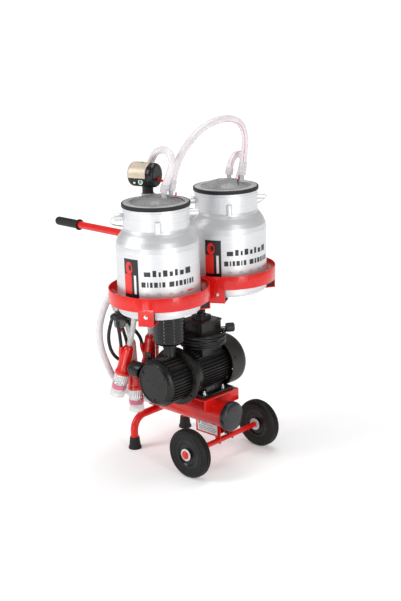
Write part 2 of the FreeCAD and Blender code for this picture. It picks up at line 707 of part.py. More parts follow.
def make_pump_cover():
    """Front cover of the pump with chamfered edge, raised boss and three screw heads."""
    outline = [(0, 0), (92, 0), (92, 8), (86, 20), (80, 26), (0, 28)]
    plate = turned("pump_cover_plate", outline, at(motor_x, -245, motor_level, -Y))
    heads = [cylinder("cover_screw_%d" % index,
                      at(motor_x + 66 * math.cos(angle), -268,
                         motor_level + 66 * math.sin(angle), -Y), 5, 7)
             for index, angle in enumerate(math.radians(30 + 120 * step) for step in range(3))]
    return subpart(fuse("pump_cover", [plate] + heads))


def make_canister():
    """Glossy round filter bowl on the inlet neck."""
    radius, height = dim("canister_radius"), dim("canister_height")
    outline = [(12, 0), (46, 0), (57, 4), (radius, 15), (radius, height - 8), (radius - 6, height),
               (0, height), (0, height - 4), (radius - 8, height - 4), (radius - 4, height - 10),
               (radius - 4, 17), (54, 8), (45, 4), (12, 4)]
    return subpart(turned("filter_canister", outline,
                          at(motor_x, -176, dim("canister_bottom"))))


def make_outlet():
    """Stubby rounded exhaust silencer that leaves the pump sideways, with its outlet bored in."""
    radius = dim("outlet_radius")
    outline = [(0, 0), (radius, 0), (radius, 54), (radius - 1.5, 55), (radius - 1.5, 57),
               (radius, 58), (radius - 2, 66), (radius - 8, 73), (radius - 16, 76), (9, 76),
               (9, 16), (0, 16)]
    stub = turned("silencer", outline, at(OUTLET_END + 76, OUTLET[0], OUTLET[1], -X))
    root = cylinder("silencer_root", at(OUTLET_END + 110, OUTLET[0], OUTLET[1], -X), radius, 34)
    housing = cylinder("silencer_saddle", along_motor(-290), dim("pump_fin_radius"), 150)
    boss = cylinder("silencer_boss_clearance", at(REGULATOR[0], REGULATOR[1], 380), 13.3, 80)
    return subpart(cut("exhaust_silencer", fuse("silencer_solid", [stub, root]),
                       fuse("silencer_cutters", [housing, boss])))


OUTLET = (-240, 404)
OUTLET_END = 158


def make_regulator_knob():
    """Wing screw that sets the vacuum regulator."""
    x, y = REGULATOR
    stem = cylinder("regulator_stem", at(x, y, 450.3), 8, 8)
    wing = box("regulator_wing", (x - 17, y - 3, 456), 34, 6, 16)
    return subpart(fuse("regulator_knob", [stem, wing]))


BOX_X = 322.5


def make_terminal_box():
    """Connection box moulded over the motor, open on top, with the cable gland on its back."""
    side, wall = dim("box_side"), dim("box_wall")
    half = side * 0.5
    shell = box("box_shell", (BOX_X - half, -half, 440), side, side, dim("box_top") - 440)
    room = box("box_room", (BOX_X - half + wall, -half + wall, 476), side - wall * 2,
               side - wall * 2, 120)
    seat = cylinder("box_seat", along_motor(-80), dim("fin_tip_radius"), 160)
    gland = turned("gland_nut", [(4, 0), (11, 0), (11, 7), (8.5, 8), (6.5, 15), (4, 15)],
                   at(BOX_X - half, 0, CABLE_LEVEL, -X))
    shell_cut = cut("box_hollow", shell, fuse("box_cutters", [room, seat]))
    return subpart(fuse("terminal_box", [shell_cut, gland]))


CABLE_LEVEL = 506


def make_box_lid():
    """Lid of the connection box with the square base of the rotary switch."""
    top = dim("box_top")
    plate = box("lid_plate", (BOX_X - 58, -58, top), 116, 116, 8)
    base = box("switch_base", (BOX_X - 28, -28, top + 8), 56, 56, 17)
    return subpart(fuse("terminal_box_lid", [plate, base]))


def make_switch_knob():
    """Pointer knob of the on-off switch."""
    level = dim("box_top") + 25.3
    disc = cylinder("knob_disc", at(BOX_X, 0, level), 17, 6)
    bar = box("knob_bar", (BOX_X - 18, -6, level + 4), 36, 12, 20)
    return subpart(fuse("switch_knob", [disc, bar]))


def make_power_cable():
    """Coil of mains cable round the connection box, the short lead to its plug, and the plug."""
    subpart(tube_ring("power_cable_coil", at(BOX_X, 0, dim("coil_level")), dim("coil_outer"),
                      dim("coil_inner"), dim("coil_height")))
    lead = [(392.4, 86.5, 547), (377, 98, 546), (359, 105, 542), (340, 106, 536), (321, 103, 532.5)]
    subpart(tube_along("power_cable_lead", lead, 3.6))
    pin_axis = Vector(-0.6, -0.8, 0)
    centre = Vector(414, 70, 547)
    head = turned("plug_head", [(0, 0), (15, 0), (18.5, 4), (18.5, 30), (17, 34), (0, 34)],
                  at(centre.x + 10, centre.y + 13, centre.z, pin_axis))
    boss_axis = Vector(-0.8, 0.6, 0)
    boss = turned("plug_boss", [(0, 0), (9, 0), (5.5, 26), (0, 26)],
                  at(413.8, 70.4, centre.z, boss_axis))
    pins = [cylinder("plug_pin_%d" % index, at(403.6 + dx, 57 + dy, centre.z, pin_axis), 2.4, 19)
            for index, (dx, dy) in enumerate(((-7.6, 5.7), (7.6, -5.7)))]
    subpart(fuse("power_plug", [head, boss] + pins))


# ---- cluster ----------------------------------------------------------------------------------

claw_x, claw_y, claw_level = dim("claw_x"), dim("claw_y"), dim("claw_level")
HOOK_ANGLE = 192
HOOK_PIN_LEVEL = 648
CUPS = (  # top of the shell, centre of the mouth
    ((123, -215, 481), (80, -256, 270)),
    ((89, -166, 398), (95, -162, 183)),
    ((158, -128, 513), (147, -141, 300)),
    ((38, -128, 468), (36, -130, 254)),
)
NIPPLE_ANGLES = (10, 106, 58, 154)
MILK_TUBE_ROUTES = (  # from the top of the bend over the claw down to each cup
    ((158, -214, 590), (133, -205.6, 530), (123.4, -214.6, 483)),
    ((80, -166, 560), (88, -167, 450), (89, -166, 399.5)),
    ((150, -152, 605), (160, -125, 563), (158, -128, 515)),
    ((34, -180, 600), (38, -136, 535), (38, -128, 470)),
)
PULSE_TUBE_ROUTES = (
    ((116.2, -265.1, 590), (122, -262, 550), (115, -252, 512), (104, -240, 478)),
    ((74.4, -257, 590), (64, -270, 540), (62, -266, 480), (60, -243, 435), (64, -215, 408),
     (72, -193.5, 388)),
    ((128.1, -220.8, 590), (123, -200, 560), (129, -173, 528), (135, -160, 503),
     (136.5, -156, 478)),
    ((77, -214, 590), (62, -197, 560), (54, -178, 520), (51, -164, 484), (52, -158, 452)),
)


def polar(radius, angle):
    """Point at a radius and angle about the claw's axis."""
    turn = math.radians(angle)
    return claw_x + radius * math.cos(turn), claw_y + radius * math.sin(turn)


def make_hook():
    """Strap bolted to the near hoop, with a peg that the cluster hangs from."""
    centre = (can_x, -dim("can_offset"), 0)
    turn = turned_about(centre, HOOK_ANGLE)
    face = can_x + dim("hoop_radius")
    strap = box("hook_strap", (face, centre[1] - 11, 636), 4, 22, 104, turn)
    heads = [cylinder("hook_bolt_%d" % index, turn.multiply(at(face + 3, centre[1], level, X)),
                      7, 7) for index, level in enumerate((718, 736))]
    peg = cylinder("hook_peg", turn.multiply(at(face + 2, centre[1], HOOK_PIN_LEVEL, -X)), 3, 22)
    return subpart(fuse("cluster_hook", [strap, peg] + heads))


def make_claw():
    """Milk claw: pulse distributor with its nipples and hanger, clear bowl, shut-off slide."""
    radius = dim("claw_radius")
    body = turned("claw_top", [(0, 0), (radius, 0), (radius, 8), (33, 14), (20, 20), (0, 21)],
                  at(claw_x, claw_y, claw_level))
    pieces = [body]
    for index, angle in enumerate(NIPPLE_ANGLES):
        pieces.append(cylinder("claw_nipple_%d" % index,
                               at(*polar(30, angle), claw_level + 2), 8, 20))
    for index, route in enumerate(PULSE_TUBE_ROUTES):
        x, y, level = route[0]
        pieces.append(cylinder("claw_pulse_nipple_%d" % index, at(x, y, level + 4), 5,
                               claw_level - level))
    hanger_turn = turned_about((can_x, -dim("can_offset"), 0), HOOK_ANGLE)
    face = can_x + dim("hoop_radius") - 12
    hanger = box("claw_hanger", (face, -dim("can_offset") - 8, claw_level + 10), 4, 16, 48,
                 hanger_turn)
    hole = cylinder("claw_hanger_hole",
                    hanger_turn.multiply(at(face - 5, -dim("can_offset"), HOOK_PIN_LEVEL, X)),
                    3.3, 14)
    subpart(cut("claw_body", fuse("claw_solid", pieces + [hanger]), hole))
    bowl = turned("claw_bowl_shell",
                  [(5.1, 0), (16, 0), (22, 4), (24, 10), (24, 40), (21.5, 40), (21.5, 11),
                   (20, 6), (15, 2.5), (5.1, 2.5)], at(claw_x, claw_y, claw_level - 40))
    outlet = cylinder("claw_outlet", at(claw_x + 8, claw_y + 20, claw_level - 20, Y), 9, 29.7)
    way = cylinder("claw_outlet_way", at(claw_x + 8, claw_y + 16, claw_level - 20, Y), 6.5, 40)
    subpart(cut("claw_bowl", fuse("claw_bowl_solid", [bowl, outlet]), way))
    slide = [(0, 0), (10, 0), (10, 4), (5, 5), (5, 30), (0, 30)]
    return subpart(turned("claw_shut_off", slide, at(claw_x, claw_y, claw_level - 56)))


def cup_place(cup):
    """Placement at the top of a teat cup, its own Z axis pointing to the mouth."""
    top, mouth = Vector(*cup[0]), Vector(*cup[1])
    return at(top.x, top.y, top.z, mouth - top)


def make_teat_cups():
    """Four teat cups: red shell, ribbed steel ferrule, and the liner's band and mouthpiece."""
    shell = [(0, 0), (19, 0), (22.5, 6), (24, 30), (26.5, 90), (28, 104), (31, 112), (31, 122),
             (0, 122)]
    ferrule = [(0, 122), (29.5, 122), (29.5, 164), (0, 164)]
    liner = [(13, 164), (30.5, 164), (30.5, 184), (28.5, 187), (28.5, 190), (31, 193),
             (31, 214), (27, 217), (13, 217)]
    shells, ferrules, liners = [], [], []
    for index, cup in enumerate(CUPS):
        place = cup_place(cup)
        shells.append(turned("cup_shell_%d" % index, shell, place))
        ferrules.append(turned("cup_ferrule_%d" % index, ferrule, place))
        liners.append(turned("cup_liner_%d" % index, liner, place))
    subpart(group("teat_cup_shells", shells))
    subpart(group("teat_cup_ferrules", ferrules))
    subpart(group("teat_cup_liners", liners))


def make_cluster_tubes():
    """Short milk tubes that bend over the claw's nipples, and the black pulse tubes."""
    milk = []
    for index, (angle, route) in enumerate(zip(NIPPLE_ANGLES, MILK_TUBE_ROUTES)):
        start, out = polar(30, angle), polar(72, angle)
        rise = claw_level + 22
        points = [(*start, rise), (*start, rise + 24), (*out, rise + 24), (*out, rise - 7)]
        points += route
        milk.append(tube_along("short_milk_tube_%d" % index, points, dim("milk_tube_radius"),
                               bend=18))
    subpart(group("short_milk_tubes", milk))
    pulse = [tube_along("pulse_tube_%d" % index, route, dim("pulse_tube_radius"))
             for index, route in enumerate(PULSE_TUBE_ROUTES)]
    subpart(group("pulse_tubes", pulse))


# ---- long hoses -------------------------------------------------------------------------------

SPIGOTS_NEAR = ((340, -162), (335, -196))
SPIGOTS_FAR = ((344, 234), (292, 215))
CROSSOVER_ROUTE = ((340, -162, 1126.3), (341, -150, 1173), (342, -122, 1234), (342, -72, 1286),
                   (342, -12, 1328), (342, 54, 1352), (342, 118, 1361), (342, 180, 1357),
                   (342, 228, 1338), (342, 256, 1299), (342, 260, 1248), (343, 247, 1190),
                   (344, 234, 1126.3))
VACUUM_ROUTE = ((335, -196, 1126.3), (347, -194, 1162), (368, -189, 1204), (377, -184, 1246),
                (350, -175, 1275), (304, -163, 1280), (252, -151, 1261), (210, -137, 1220),
                (174, -115, 1168), (140, -86, 1096), (124, -79, 1008), (100, -90, 915),
                (78, -125, 830), (62, -175, 755), (45, -225, 690), (28, -262, 620),
                (18, -278, 545), (15, -272, 470), (12, -245, 400), (-4, -206, 335),
                (-22, -161, 278), (-18, -118, 228), (20, -92, 203), (65, -81, 201),
                (111.4, -79, 201))
MILK_ROUTE = ((292, 215, 1126.3), (294, 219, 1158), (288, 239, 1184), (276, 275, 1196),
              (260, 319, 1194), (240, 358, 1172), (222, 376, 1140), (206, 378, 1100),
              (184, 376, 1050), (166, 354, 990), (140, 322, 930), (106, 275, 868),
              (80, 207, 802), (64, 140, 740), (60, 82, 668), (70, 25, 604), (90, -40, 574),
              (106, -112, 577), (108, -186.2, 580))


def make_long_hoses():
    radius = dim("hose_radius")
    for name, route in (("crossover_hose", CROSSOVER_ROUTE), ("vacuum_hose", VACUUM_ROUTE),
                        ("long_milk_hose", MILK_ROUTE)):
        subpart(tube_along(name, route, radius))


# ---- build, check and export ------------------------------------------------------------------

def build():
    make_vacuum_tank()
    make_tank_end_cap()
    make_leg_frame()
    make_foot_tips()
    make_column()
    make_handle_grip()
    make_axle()
    make_axle_bracket()
    make_drain_valve()
    make_motor_plate()
    for side, sign in (("near", -1), ("far", 1)):
        make_wheel(side, sign)
        make_can(side, sign)
        make_bail(side, sign)
        make_hoop(side, sign)
    make_hoop_pads()
    make_frame_bolts()
    make_lid("near", -1, SPIGOTS_NEAR)
    make_lid("far", 1, SPIGOTS_FAR)
    make_pulsator()
    make_motor_housing()
    make_end_bell()
    make_fan_cover()
    make_stator()
    make_bearings()
    make_rotor()
    make_pump_housing()
    make_pump_cover()
    make_canister()
    make_outlet()
    make_regulator_knob()
    make_terminal_box()
    make_box_lid()
    make_switch_knob()
    make_power_cable()
    make_hook()
    make_claw()
    make_teat_cups()
    make_cluster_tubes()
    make_long_hoses()


def check_and_export():
    """Stop on any failed object or bad shape, then write one STEP file per piece."""
    doc.recompute()
    failed = [item.Name for item in doc.Objects if {"Invalid", "Error"} & set(item.State)]
    if failed:
        raise RuntimeError("objects that failed: %s" % failed)
    labels = [thing.Label for thing in SUBPARTS]
    if len(labels) != len(set(labels)) or len(labels) > 60:
        raise RuntimeError("%d sub-parts, or a label used twice" % len(labels))
    os.makedirs("parts", exist_ok=True)
    for thing in SUBPARTS:
        if thing.Shape.isNull() or not thing.Shape.isValid() or not thing.Shape.Solids:
            raise RuntimeError("bad shape: " + thing.Label)
    for thing in SUBPARTS:
        thing.Shape.exportStep("parts/%s.step" % thing.Label)
        bounds = thing.Shape.BoundBox
        print("%-20s solids %2d  volume %9.1f cm3  z %7.1f to %7.1f"
              % (thing.Label, len(thing.Shape.Solids), thing.Shape.Volume / 1000,
                 bounds.ZMin, bounds.ZMax))
    print(len(SUBPARTS), "sub-parts")


build()
check_and_export()
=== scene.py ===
import math

import bmesh
import bpy
from mathutils import Matrix, Vector


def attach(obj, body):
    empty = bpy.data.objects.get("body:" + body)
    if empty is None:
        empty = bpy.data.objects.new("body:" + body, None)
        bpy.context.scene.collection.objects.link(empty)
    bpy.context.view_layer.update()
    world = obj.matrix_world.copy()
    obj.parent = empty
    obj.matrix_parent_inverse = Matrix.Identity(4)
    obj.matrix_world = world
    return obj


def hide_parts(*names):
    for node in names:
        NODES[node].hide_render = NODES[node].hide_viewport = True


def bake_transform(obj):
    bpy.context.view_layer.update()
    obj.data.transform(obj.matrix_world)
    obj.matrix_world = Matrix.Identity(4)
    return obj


# Looks of a mobile milking machine: two aluminium cans in red hoops on a wheeled vacuum-pump
# cart. The CAD nodes keep their place; this script gives them materials and adds fine work.
# Lengths are in millimetres, turned into metres by MM.

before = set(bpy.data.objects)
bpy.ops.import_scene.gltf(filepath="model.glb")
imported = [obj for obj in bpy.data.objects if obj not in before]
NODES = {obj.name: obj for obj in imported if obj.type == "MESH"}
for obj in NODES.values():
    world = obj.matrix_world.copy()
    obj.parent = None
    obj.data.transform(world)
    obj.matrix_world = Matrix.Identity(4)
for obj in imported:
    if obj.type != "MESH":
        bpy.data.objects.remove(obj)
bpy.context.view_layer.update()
MM = 0.001
X, Y, Z = Vector((1, 0, 0)), Vector((0, 1, 0)), Vector((0, 0, 1))

CAN_X, CAN_Y, CAN_RADIUS, NECK_RADIUS, NECK_TOP = 290.5, 196, 160, 126.6, 1071
SIDES = (("near", -1), ("far", 1))


# ---- camera, light and floor ----

def mm(*point):
    """Point given in millimetres, in metres."""
    return Vector(point) * MM


def make_camera():
    """Camera above the machine's front right, slightly rolled."""
    target, azimuth, elevation = mm(322.5, 0, 516), math.radians(43.92), math.radians(18.0)
    roll, distance = math.radians(-1.65), 4.684
    back = Vector((math.sin(azimuth) * math.cos(elevation),
                   -math.cos(azimuth) * math.cos(elevation), math.sin(elevation)))
    level_right = Vector((math.cos(azimuth), math.sin(azimuth), 0))
    level_up = back.cross(level_right)
    right = level_right * math.cos(roll) + level_up * math.sin(roll)
    up = back.cross(right)
    data = bpy.data.cameras.new("camera")
    data.sensor_width = 36
    data.lens = 69.9
    data.shift_x, data.shift_y = -0.002, 0.0562
    camera = bpy.data.objects.new("camera", data)
    bpy.context.scene.collection.objects.link(camera)
    camera.matrix_world = Matrix((
        (right.x, up.x, back.x, 0), (right.y, up.y, back.y, 0), (right.z, up.z, back.z, 0),
        (0, 0, 0, 1)))
    camera.location = target + back * distance
    bpy.context.scene.camera = camera


def area_light(name, spot, aim, size, power):
    """Rectangular lamp at a spot in metres, turned towards its aim."""
    data = bpy.data.lights.new(name, "AREA")
    data.shape = "RECTANGLE"
    data.size, data.size_y = size
    data.energy = power
    lamp = bpy.data.objects.new(name, data)
    bpy.context.scene.collection.objects.link(lamp)
    lamp.location = spot
    lamp.rotation_euler = (Vector(aim) - Vector(spot)).to_track_quat("-Z", "Y").to_euler()


WORLD_SEEN, WORLD_LIGHT = 1.0, 0.34
FLOOR_SIZE = 900


def make_studio():
    """White world that lights less than it shows, five lamps and a wide floor."""
    world = bpy.data.worlds.new("studio")
    bpy.context.scene.world = world
    world.use_nodes = True
    shade = world.node_tree.nodes["Background"]
    shade.inputs["Color"].default_value = (1, 1, 1, 1)
    tree = world.node_tree
    path = tree.nodes.new("ShaderNodeLightPath")
    strength = tree.nodes.new("ShaderNodeMapRange")
    strength.inputs["To Min"].default_value = WORLD_LIGHT
    strength.inputs["To Max"].default_value = WORLD_SEEN
    either = tree.nodes.new("ShaderNodeMath")
    either.operation = "MAXIMUM"
    tree.links.new(path.outputs["Is Camera Ray"], either.inputs[0])
    tree.links.new(path.outputs["Is Transmission Ray"], either.inputs[1])
    tree.links.new(either.outputs["Value"], strength.inputs["Value"])
    tree.links.new(strength.outputs["Result"], shade.inputs["Strength"])
    bpy.context.scene.view_settings.view_transform = "Standard"
    middle = (0.3, 0, 0.6)
    area_light("key", (-1.6, -3.4, 3.2), middle, (1.6, 2.2), 95)
    area_light("side", (3.8, -1.0, 1.8), middle, (0.8, 2.4), 42)
    area_light("top", (0.2, 0.8, 4.2), middle, (2.4, 2.4), 70)
    area_light("strip_left", (0.9, -3.4, 0.5), (0.3, 0, 0.5), (0.16, 0.95), 10)
    area_light("strip_right", (3.7, -0.6, 0.5), (0.3, 0, 0.5), (0.14, 0.95), 6)
    floor = mesh_object("floor", *grid_faces(12, 12, lambda u, v: Vector(
        ((u - 0.5) * FLOOR_SIZE, (v - 0.5) * FLOOR_SIZE, 0))), FLOOR)
    glow_far_away(FLOOR)


def glow_far_away(surface):
    """The floor stays white out to the horizon and keeps its shadows near the machine."""
    tree = surface.node_tree
    place = tree.nodes.new("ShaderNodeTexCoord")
    reach = tree.nodes.new("ShaderNodeVectorMath")
    reach.operation = "LENGTH"
    level = tree.nodes.new("ShaderNodeMapRange")
    level.inputs["From Min"].default_value, level.inputs["From Max"].default_value = 0.8, 4.0
    level.inputs["To Min"].default_value, level.inputs["To Max"].default_value = 0.28, 0.85
    tree.links.new(place.outputs["Object"], reach.inputs[0])
    tree.links.new(reach.outputs["Value"], level.inputs["Value"])
    tree.links.new(level.outputs["Result"],
                   tree.nodes["Principled BSDF"].inputs["Emission Strength"])


# ---- materials ----

def material(name, dark, light, rough, metal=0.0, coat=0.0, blotch=9.0, grain=700.0, bump=0.08,
             stretch=(1, 1, 1), spread=0.06, clear=0.0, alpha=1.0, glow=0.0, soft=0.0, ior=1.5):
    """Principled surface whose colour and roughness wander a little and whose grain is bumped."""
    made = bpy.data.materials.new(name)
    made.use_nodes = True
    tree = made.node_tree
    shader = tree.nodes["Principled BSDF"]
    shader.inputs["Metallic"].default_value = metal
    shader.inputs["Coat Weight"].default_value = coat
    shader.inputs["Coat Roughness"].default_value = 0.06
    shader.inputs["IOR"].default_value = ior
    shader.inputs["Transmission Weight"].default_value = clear
    shader.inputs["Alpha"].default_value = alpha
    shader.inputs["Subsurface Weight"].default_value = soft
    shader.inputs["Subsurface Scale"].default_value = 0.01
    if glow:
        shader.inputs["Emission Color"].default_value = (*light, 1)
        shader.inputs["Emission Strength"].default_value = glow
    place = tree.nodes.new("ShaderNodeTexCoord")
    shape = tree.nodes.new("ShaderNodeMapping")
    shape.inputs["Scale"].default_value = stretch
    tree.links.new(place.outputs["Object"], shape.inputs["Vector"])
    wander = tree.nodes.new("ShaderNodeTexNoise")
    wander.inputs["Scale"].default_value = blotch
    wander.inputs["Detail"].default_value = 5
    tree.links.new(shape.outputs["Vector"], wander.inputs["Vector"])
    ramp = tree.nodes.new("ShaderNodeValToRGB")
    ramp.color_ramp.elements[0].position, ramp.color_ramp.elements[1].position = 0.35, 0.65
    ramp.color_ramp.elements[0].color = (*dark, 1)
    ramp.color_ramp.elements[1].color = (*light, 1)
    tree.links.new(wander.outputs["Fac"], ramp.inputs["Fac"])
    tree.links.new(ramp.outputs["Color"], shader.inputs["Base Color"])
    range_node = tree.nodes.new("ShaderNodeMapRange")
    range_node.inputs["From Min"].default_value = 0.3
    range_node.inputs["From Max"].default_value = 0.7
    range_node.inputs["To Min"].default_value = max(rough - spread, 0.02)
    range_node.inputs["To Max"].default_value = rough + spread
    tree.links.new(wander.outputs["Fac"], range_node.inputs["Value"])
    tree.links.new(range_node.outputs["Result"], shader.inputs["Roughness"])
    if bump:
        fine = tree.nodes.new("ShaderNodeTexNoise")
        fine.inputs["Scale"].default_value = grain
        fine.inputs["Detail"].default_value = 3
        tree.links.new(shape.outputs["Vector"], fine.inputs["Vector"])
        relief = tree.nodes.new("ShaderNodeBump")
        relief.inputs["Strength"].default_value = bump
        relief.inputs["Distance"].default_value = 0.0006
        tree.links.new(fine.outputs["Fac"], relief.inputs["Height"])
        tree.links.new(relief.outputs["Normal"], shader.inputs["Normal"])
    return made


FLOOR = material("floor_white", (0.88, 0.88, 0.88), (0.90, 0.90, 0.90), 0.8, bump=0, glow=0.32)
RED_PAINT = material("red_gloss_paint", (0.62, 0.006, 0.004), (0.72, 0.010, 0.006), 0.3, coat=0.25,
                     grain=260, bump=0.05, ior=1.4)
BLACK_RUBBER = material("black_rubber", (0.007, 0.007, 0.007), (0.012, 0.012, 0.012), 0.55,
                        grain=1500, bump=0.2, ior=1.4)
TYRE = material("tyre_rubber", (0.006, 0.006, 0.006), (0.011, 0.0105, 0.010), 0.5, blotch=25,
                grain=1800, bump=0.3, ior=1.32)
RIM = material("rim_plastic", (0.005, 0.005, 0.005), (0.009, 0.009, 0.009), 0.32, grain=900,
               ior=1.4)
ALUMINIUM = material("spun_aluminium", (0.66, 0.67, 0.69), (0.72, 0.73, 0.74), 0.42, metal=0.62,
                     blotch=4, grain=10, bump=0.03, stretch=(1, 1, 70), spread=0.03)
WELD = material("weld_bead", (0.55, 0.56, 0.58), (0.72, 0.73, 0.75), 0.4, metal=0.7, blotch=120,
                grain=400, bump=0.4)
ZINC = material("bright_zinc", (0.62, 0.63, 0.64), (0.78, 0.78, 0.78), 0.22, metal=1, blotch=60,
                grain=900, bump=0.06)
STEEL = material("polished_steel", (0.50, 0.50, 0.49), (0.66, 0.66, 0.65), 0.2, metal=1,
                 blotch=40, grain=900, bump=0.04)
END_CAP = material("end_cap_satin", (0.012, 0.013, 0.015), (0.022, 0.023, 0.026), 0.3, blotch=30,
                   grain=700, bump=0.1, spread=0.08)
CLEAR = material("clear_polycarbonate", (0.40, 0.40, 0.41), (0.48, 0.48, 0.49), 0.2, blotch=12,
                 bump=0, spread=0.03, alpha=0.5)
FROSTED = material("frosted_rim", (0.56, 0.55, 0.55), (0.68, 0.67, 0.67), 0.25, blotch=20,
                   bump=0.03, alpha=0.6)
PVC = material("clear_pvc", (0.76, 0.71, 0.74), (0.82, 0.78, 0.80), 0.26, blotch=18, bump=0,
               spread=0.03, alpha=0.88)
SOCKET = material("hose_socket", (0.74, 0.71, 0.73), (0.82, 0.79, 0.81), 0.25, blotch=30,
                  bump=0.03, alpha=0.5)
STRIPE = material("red_stripe", (0.66, 0.05, 0.07), (0.78, 0.08, 0.10), 0.35, blotch=60, bump=0.05)
PULSATOR = material("pulsator_black", (0.006, 0.006, 0.006), (0.011, 0.010, 0.010), 0.28,
                    grain=1000, bump=0.06, ior=1.4)
BEIGE = material("pulsator_beige", (0.50, 0.42, 0.32), (0.58, 0.50, 0.39), 0.38, metal=0.2,
                 blotch=30, grain=600, bump=0.1)
MOTOR = material("motor_black", (0.006, 0.0055, 0.005), (0.011, 0.0105, 0.010), 0.36, blotch=30,
                 grain=420, bump=0.35, spread=0.1, ior=1.38)
COWL = material("cowl_grey", (0.016, 0.0145, 0.0135), (0.024, 0.022, 0.021), 0.42, blotch=14,
                grain=1200, bump=0.15, ior=1.4)
GREY_FACE = material("machined_grey", (0.05, 0.055, 0.06), (0.085, 0.09, 0.10), 0.4, metal=0.3,
                     blotch=40, grain=500, bump=0.15)
GLOSS_BLACK = material("gloss_black", (0.002, 0.002, 0.002), (0.004, 0.004, 0.004), 0.1,
                       blotch=20, bump=0.02, spread=0.03, ior=1.4)
BOX_PLASTIC = material("box_plastic", (0.011, 0.010, 0.0095), (0.018, 0.016, 0.015), 0.34,
                       blotch=30, grain=800, bump=0.12, ior=1.4)
CABLE = material("cable_rubber", (0.008, 0.008, 0.008), (0.013, 0.0125, 0.012), 0.36, blotch=50,
                 grain=900, bump=0.12, ior=1.4)
CUP_RED = material("cup_red", (0.66, 0.007, 0.004), (0.76, 0.012, 0.007), 0.2, coat=0.4,
                   blotch=16, grain=300, bump=0.04)
PINK = material("liner_pink", (0.62, 0.13, 0.22), (0.74, 0.22, 0.32), 0.35, soft=0.3, blotch=60,
                bump=0.1)
MOUTH = material("mouth_clear", (0.78, 0.76, 0.76), (0.86, 0.84, 0.84), 0.14, blotch=20, bump=0,
                 alpha=0.5)
SMOKED = material("bowl_smoked", (0.16, 0.16, 0.16), (0.24, 0.24, 0.24), 0.12, blotch=20,
                  bump=0, alpha=0.6)
MILK_TUBE = material("milk_tube", (0.70, 0.70, 0.70), (0.80, 0.80, 0.80), 0.28, soft=0.4,
                     clear=0.2, blotch=25, bump=0.03, ior=1.3)
INK = material("label_black", (0.006, 0.006, 0.006), (0.010, 0.010, 0.010), 0.32, bump=0.02)
GREY_INK = material("label_grey", (0.16, 0.16, 0.17), (0.22, 0.22, 0.23), 0.4, bump=0.02)
LABEL_RED = material("label_red", (0.72, 0.014, 0.008), (0.80, 0.020, 0.011), 0.3, bump=0.02)
LABEL_WHITE = material("label_white", (0.72, 0.72, 0.72), (0.82, 0.82, 0.82), 0.35, bump=0.02)
GREEN = material("green_dot", (0.01, 0.22, 0.10), (0.02, 0.30, 0.14), 0.3, bump=0.02)
YELLOW = material("earth_yellow", (0.55, 0.42, 0.02), (0.70, 0.55, 0.03), 0.4, bump=0.05)
BRASS = material("brass", (0.48, 0.24, 0.08), (0.62, 0.34, 0.12), 0.28, metal=1, blotch=50)
HUB = material("hub_white", (0.50, 0.50, 0.50), (0.66, 0.66, 0.65), 0.35, blotch=40, bump=0.06)


# ---- mesh helpers ----

SHARP, TUBE_SHARP, BAND_SHARP = 38, 50, 60


def mesh_object(name, points, faces, surface, sharp=SHARP):
    """Mesh in metres, smooth except across edges sharper than the given angle."""
    data = bpy.data.meshes.new(name)
    data.from_pydata([tuple(p) for p in points], [], faces)
    work = bmesh.new()
    work.from_mesh(data)
    bmesh.ops.remove_doubles(work, verts=work.verts, dist=1e-6)
    bmesh.ops.dissolve_degenerate(work, edges=work.edges, dist=1e-7)
    bmesh.ops.recalc_face_normals(work, faces=work.faces)
    work.to_mesh(data)
    work.free()
    data.shade_smooth()
    data.set_sharp_from_angle(angle=math.radians(sharp))
    data.materials.append(surface)
    thing = bpy.data.objects.new(name, data)
    bpy.context.scene.collection.objects.link(thing)
    return thing


def grid_faces(columns, rows, spot, wrap=False):
    """Points and quads of a sheet; spot(u, v) gives a point for u and v from 0 to 1."""
    across = columns if wrap else columns + 1
    points = [spot(i / columns, j / rows) for j in range(rows + 1) for i in range(across)]
    faces = []
    for j in range(rows):
        for i in range(columns):
            k = (i + 1) % across
            faces.append((j * across + i, j * across + k, (j + 1) * across + k,
                          (j + 1) * across + i))
    return points, faces


CORNER_STEPS = 3


def basis(direction):
    """Two directions square to the given one."""
    direction = Vector(direction).normalized()
    helper = Z if abs(direction.z) < 0.9 else X
    side = helper.cross(direction).normalized()
    return side, direction.cross(side)


def soften(outline, radius, closed=True):
    """Outline with its corners rounded off by short curves."""
    count, rounded = len(outline), []
    for index, corner in enumerate(outline):
        ends = not closed and index in (0, count - 1)
        if ends or abs(corner[0]) < 1e-9:
            rounded.append(corner)
            continue
        here = Vector((*corner, 0))
        before = Vector((*outline[index - 1], 0)) - here
        after = Vector((*outline[(index + 1) % count], 0)) - here
        reach = min(radius, before.length * 0.45, after.length * 0.45)
        start, end = here + before.normalized() * reach, here + after.normalized() * reach
        for step in range(CORNER_STEPS + 1):
            t = step / CORNER_STEPS
            spot = start * (1 - t) ** 2 + here * (2 * t * (1 - t)) + end * t ** 2
            rounded.append((spot.x, spot.y))
    return rounded


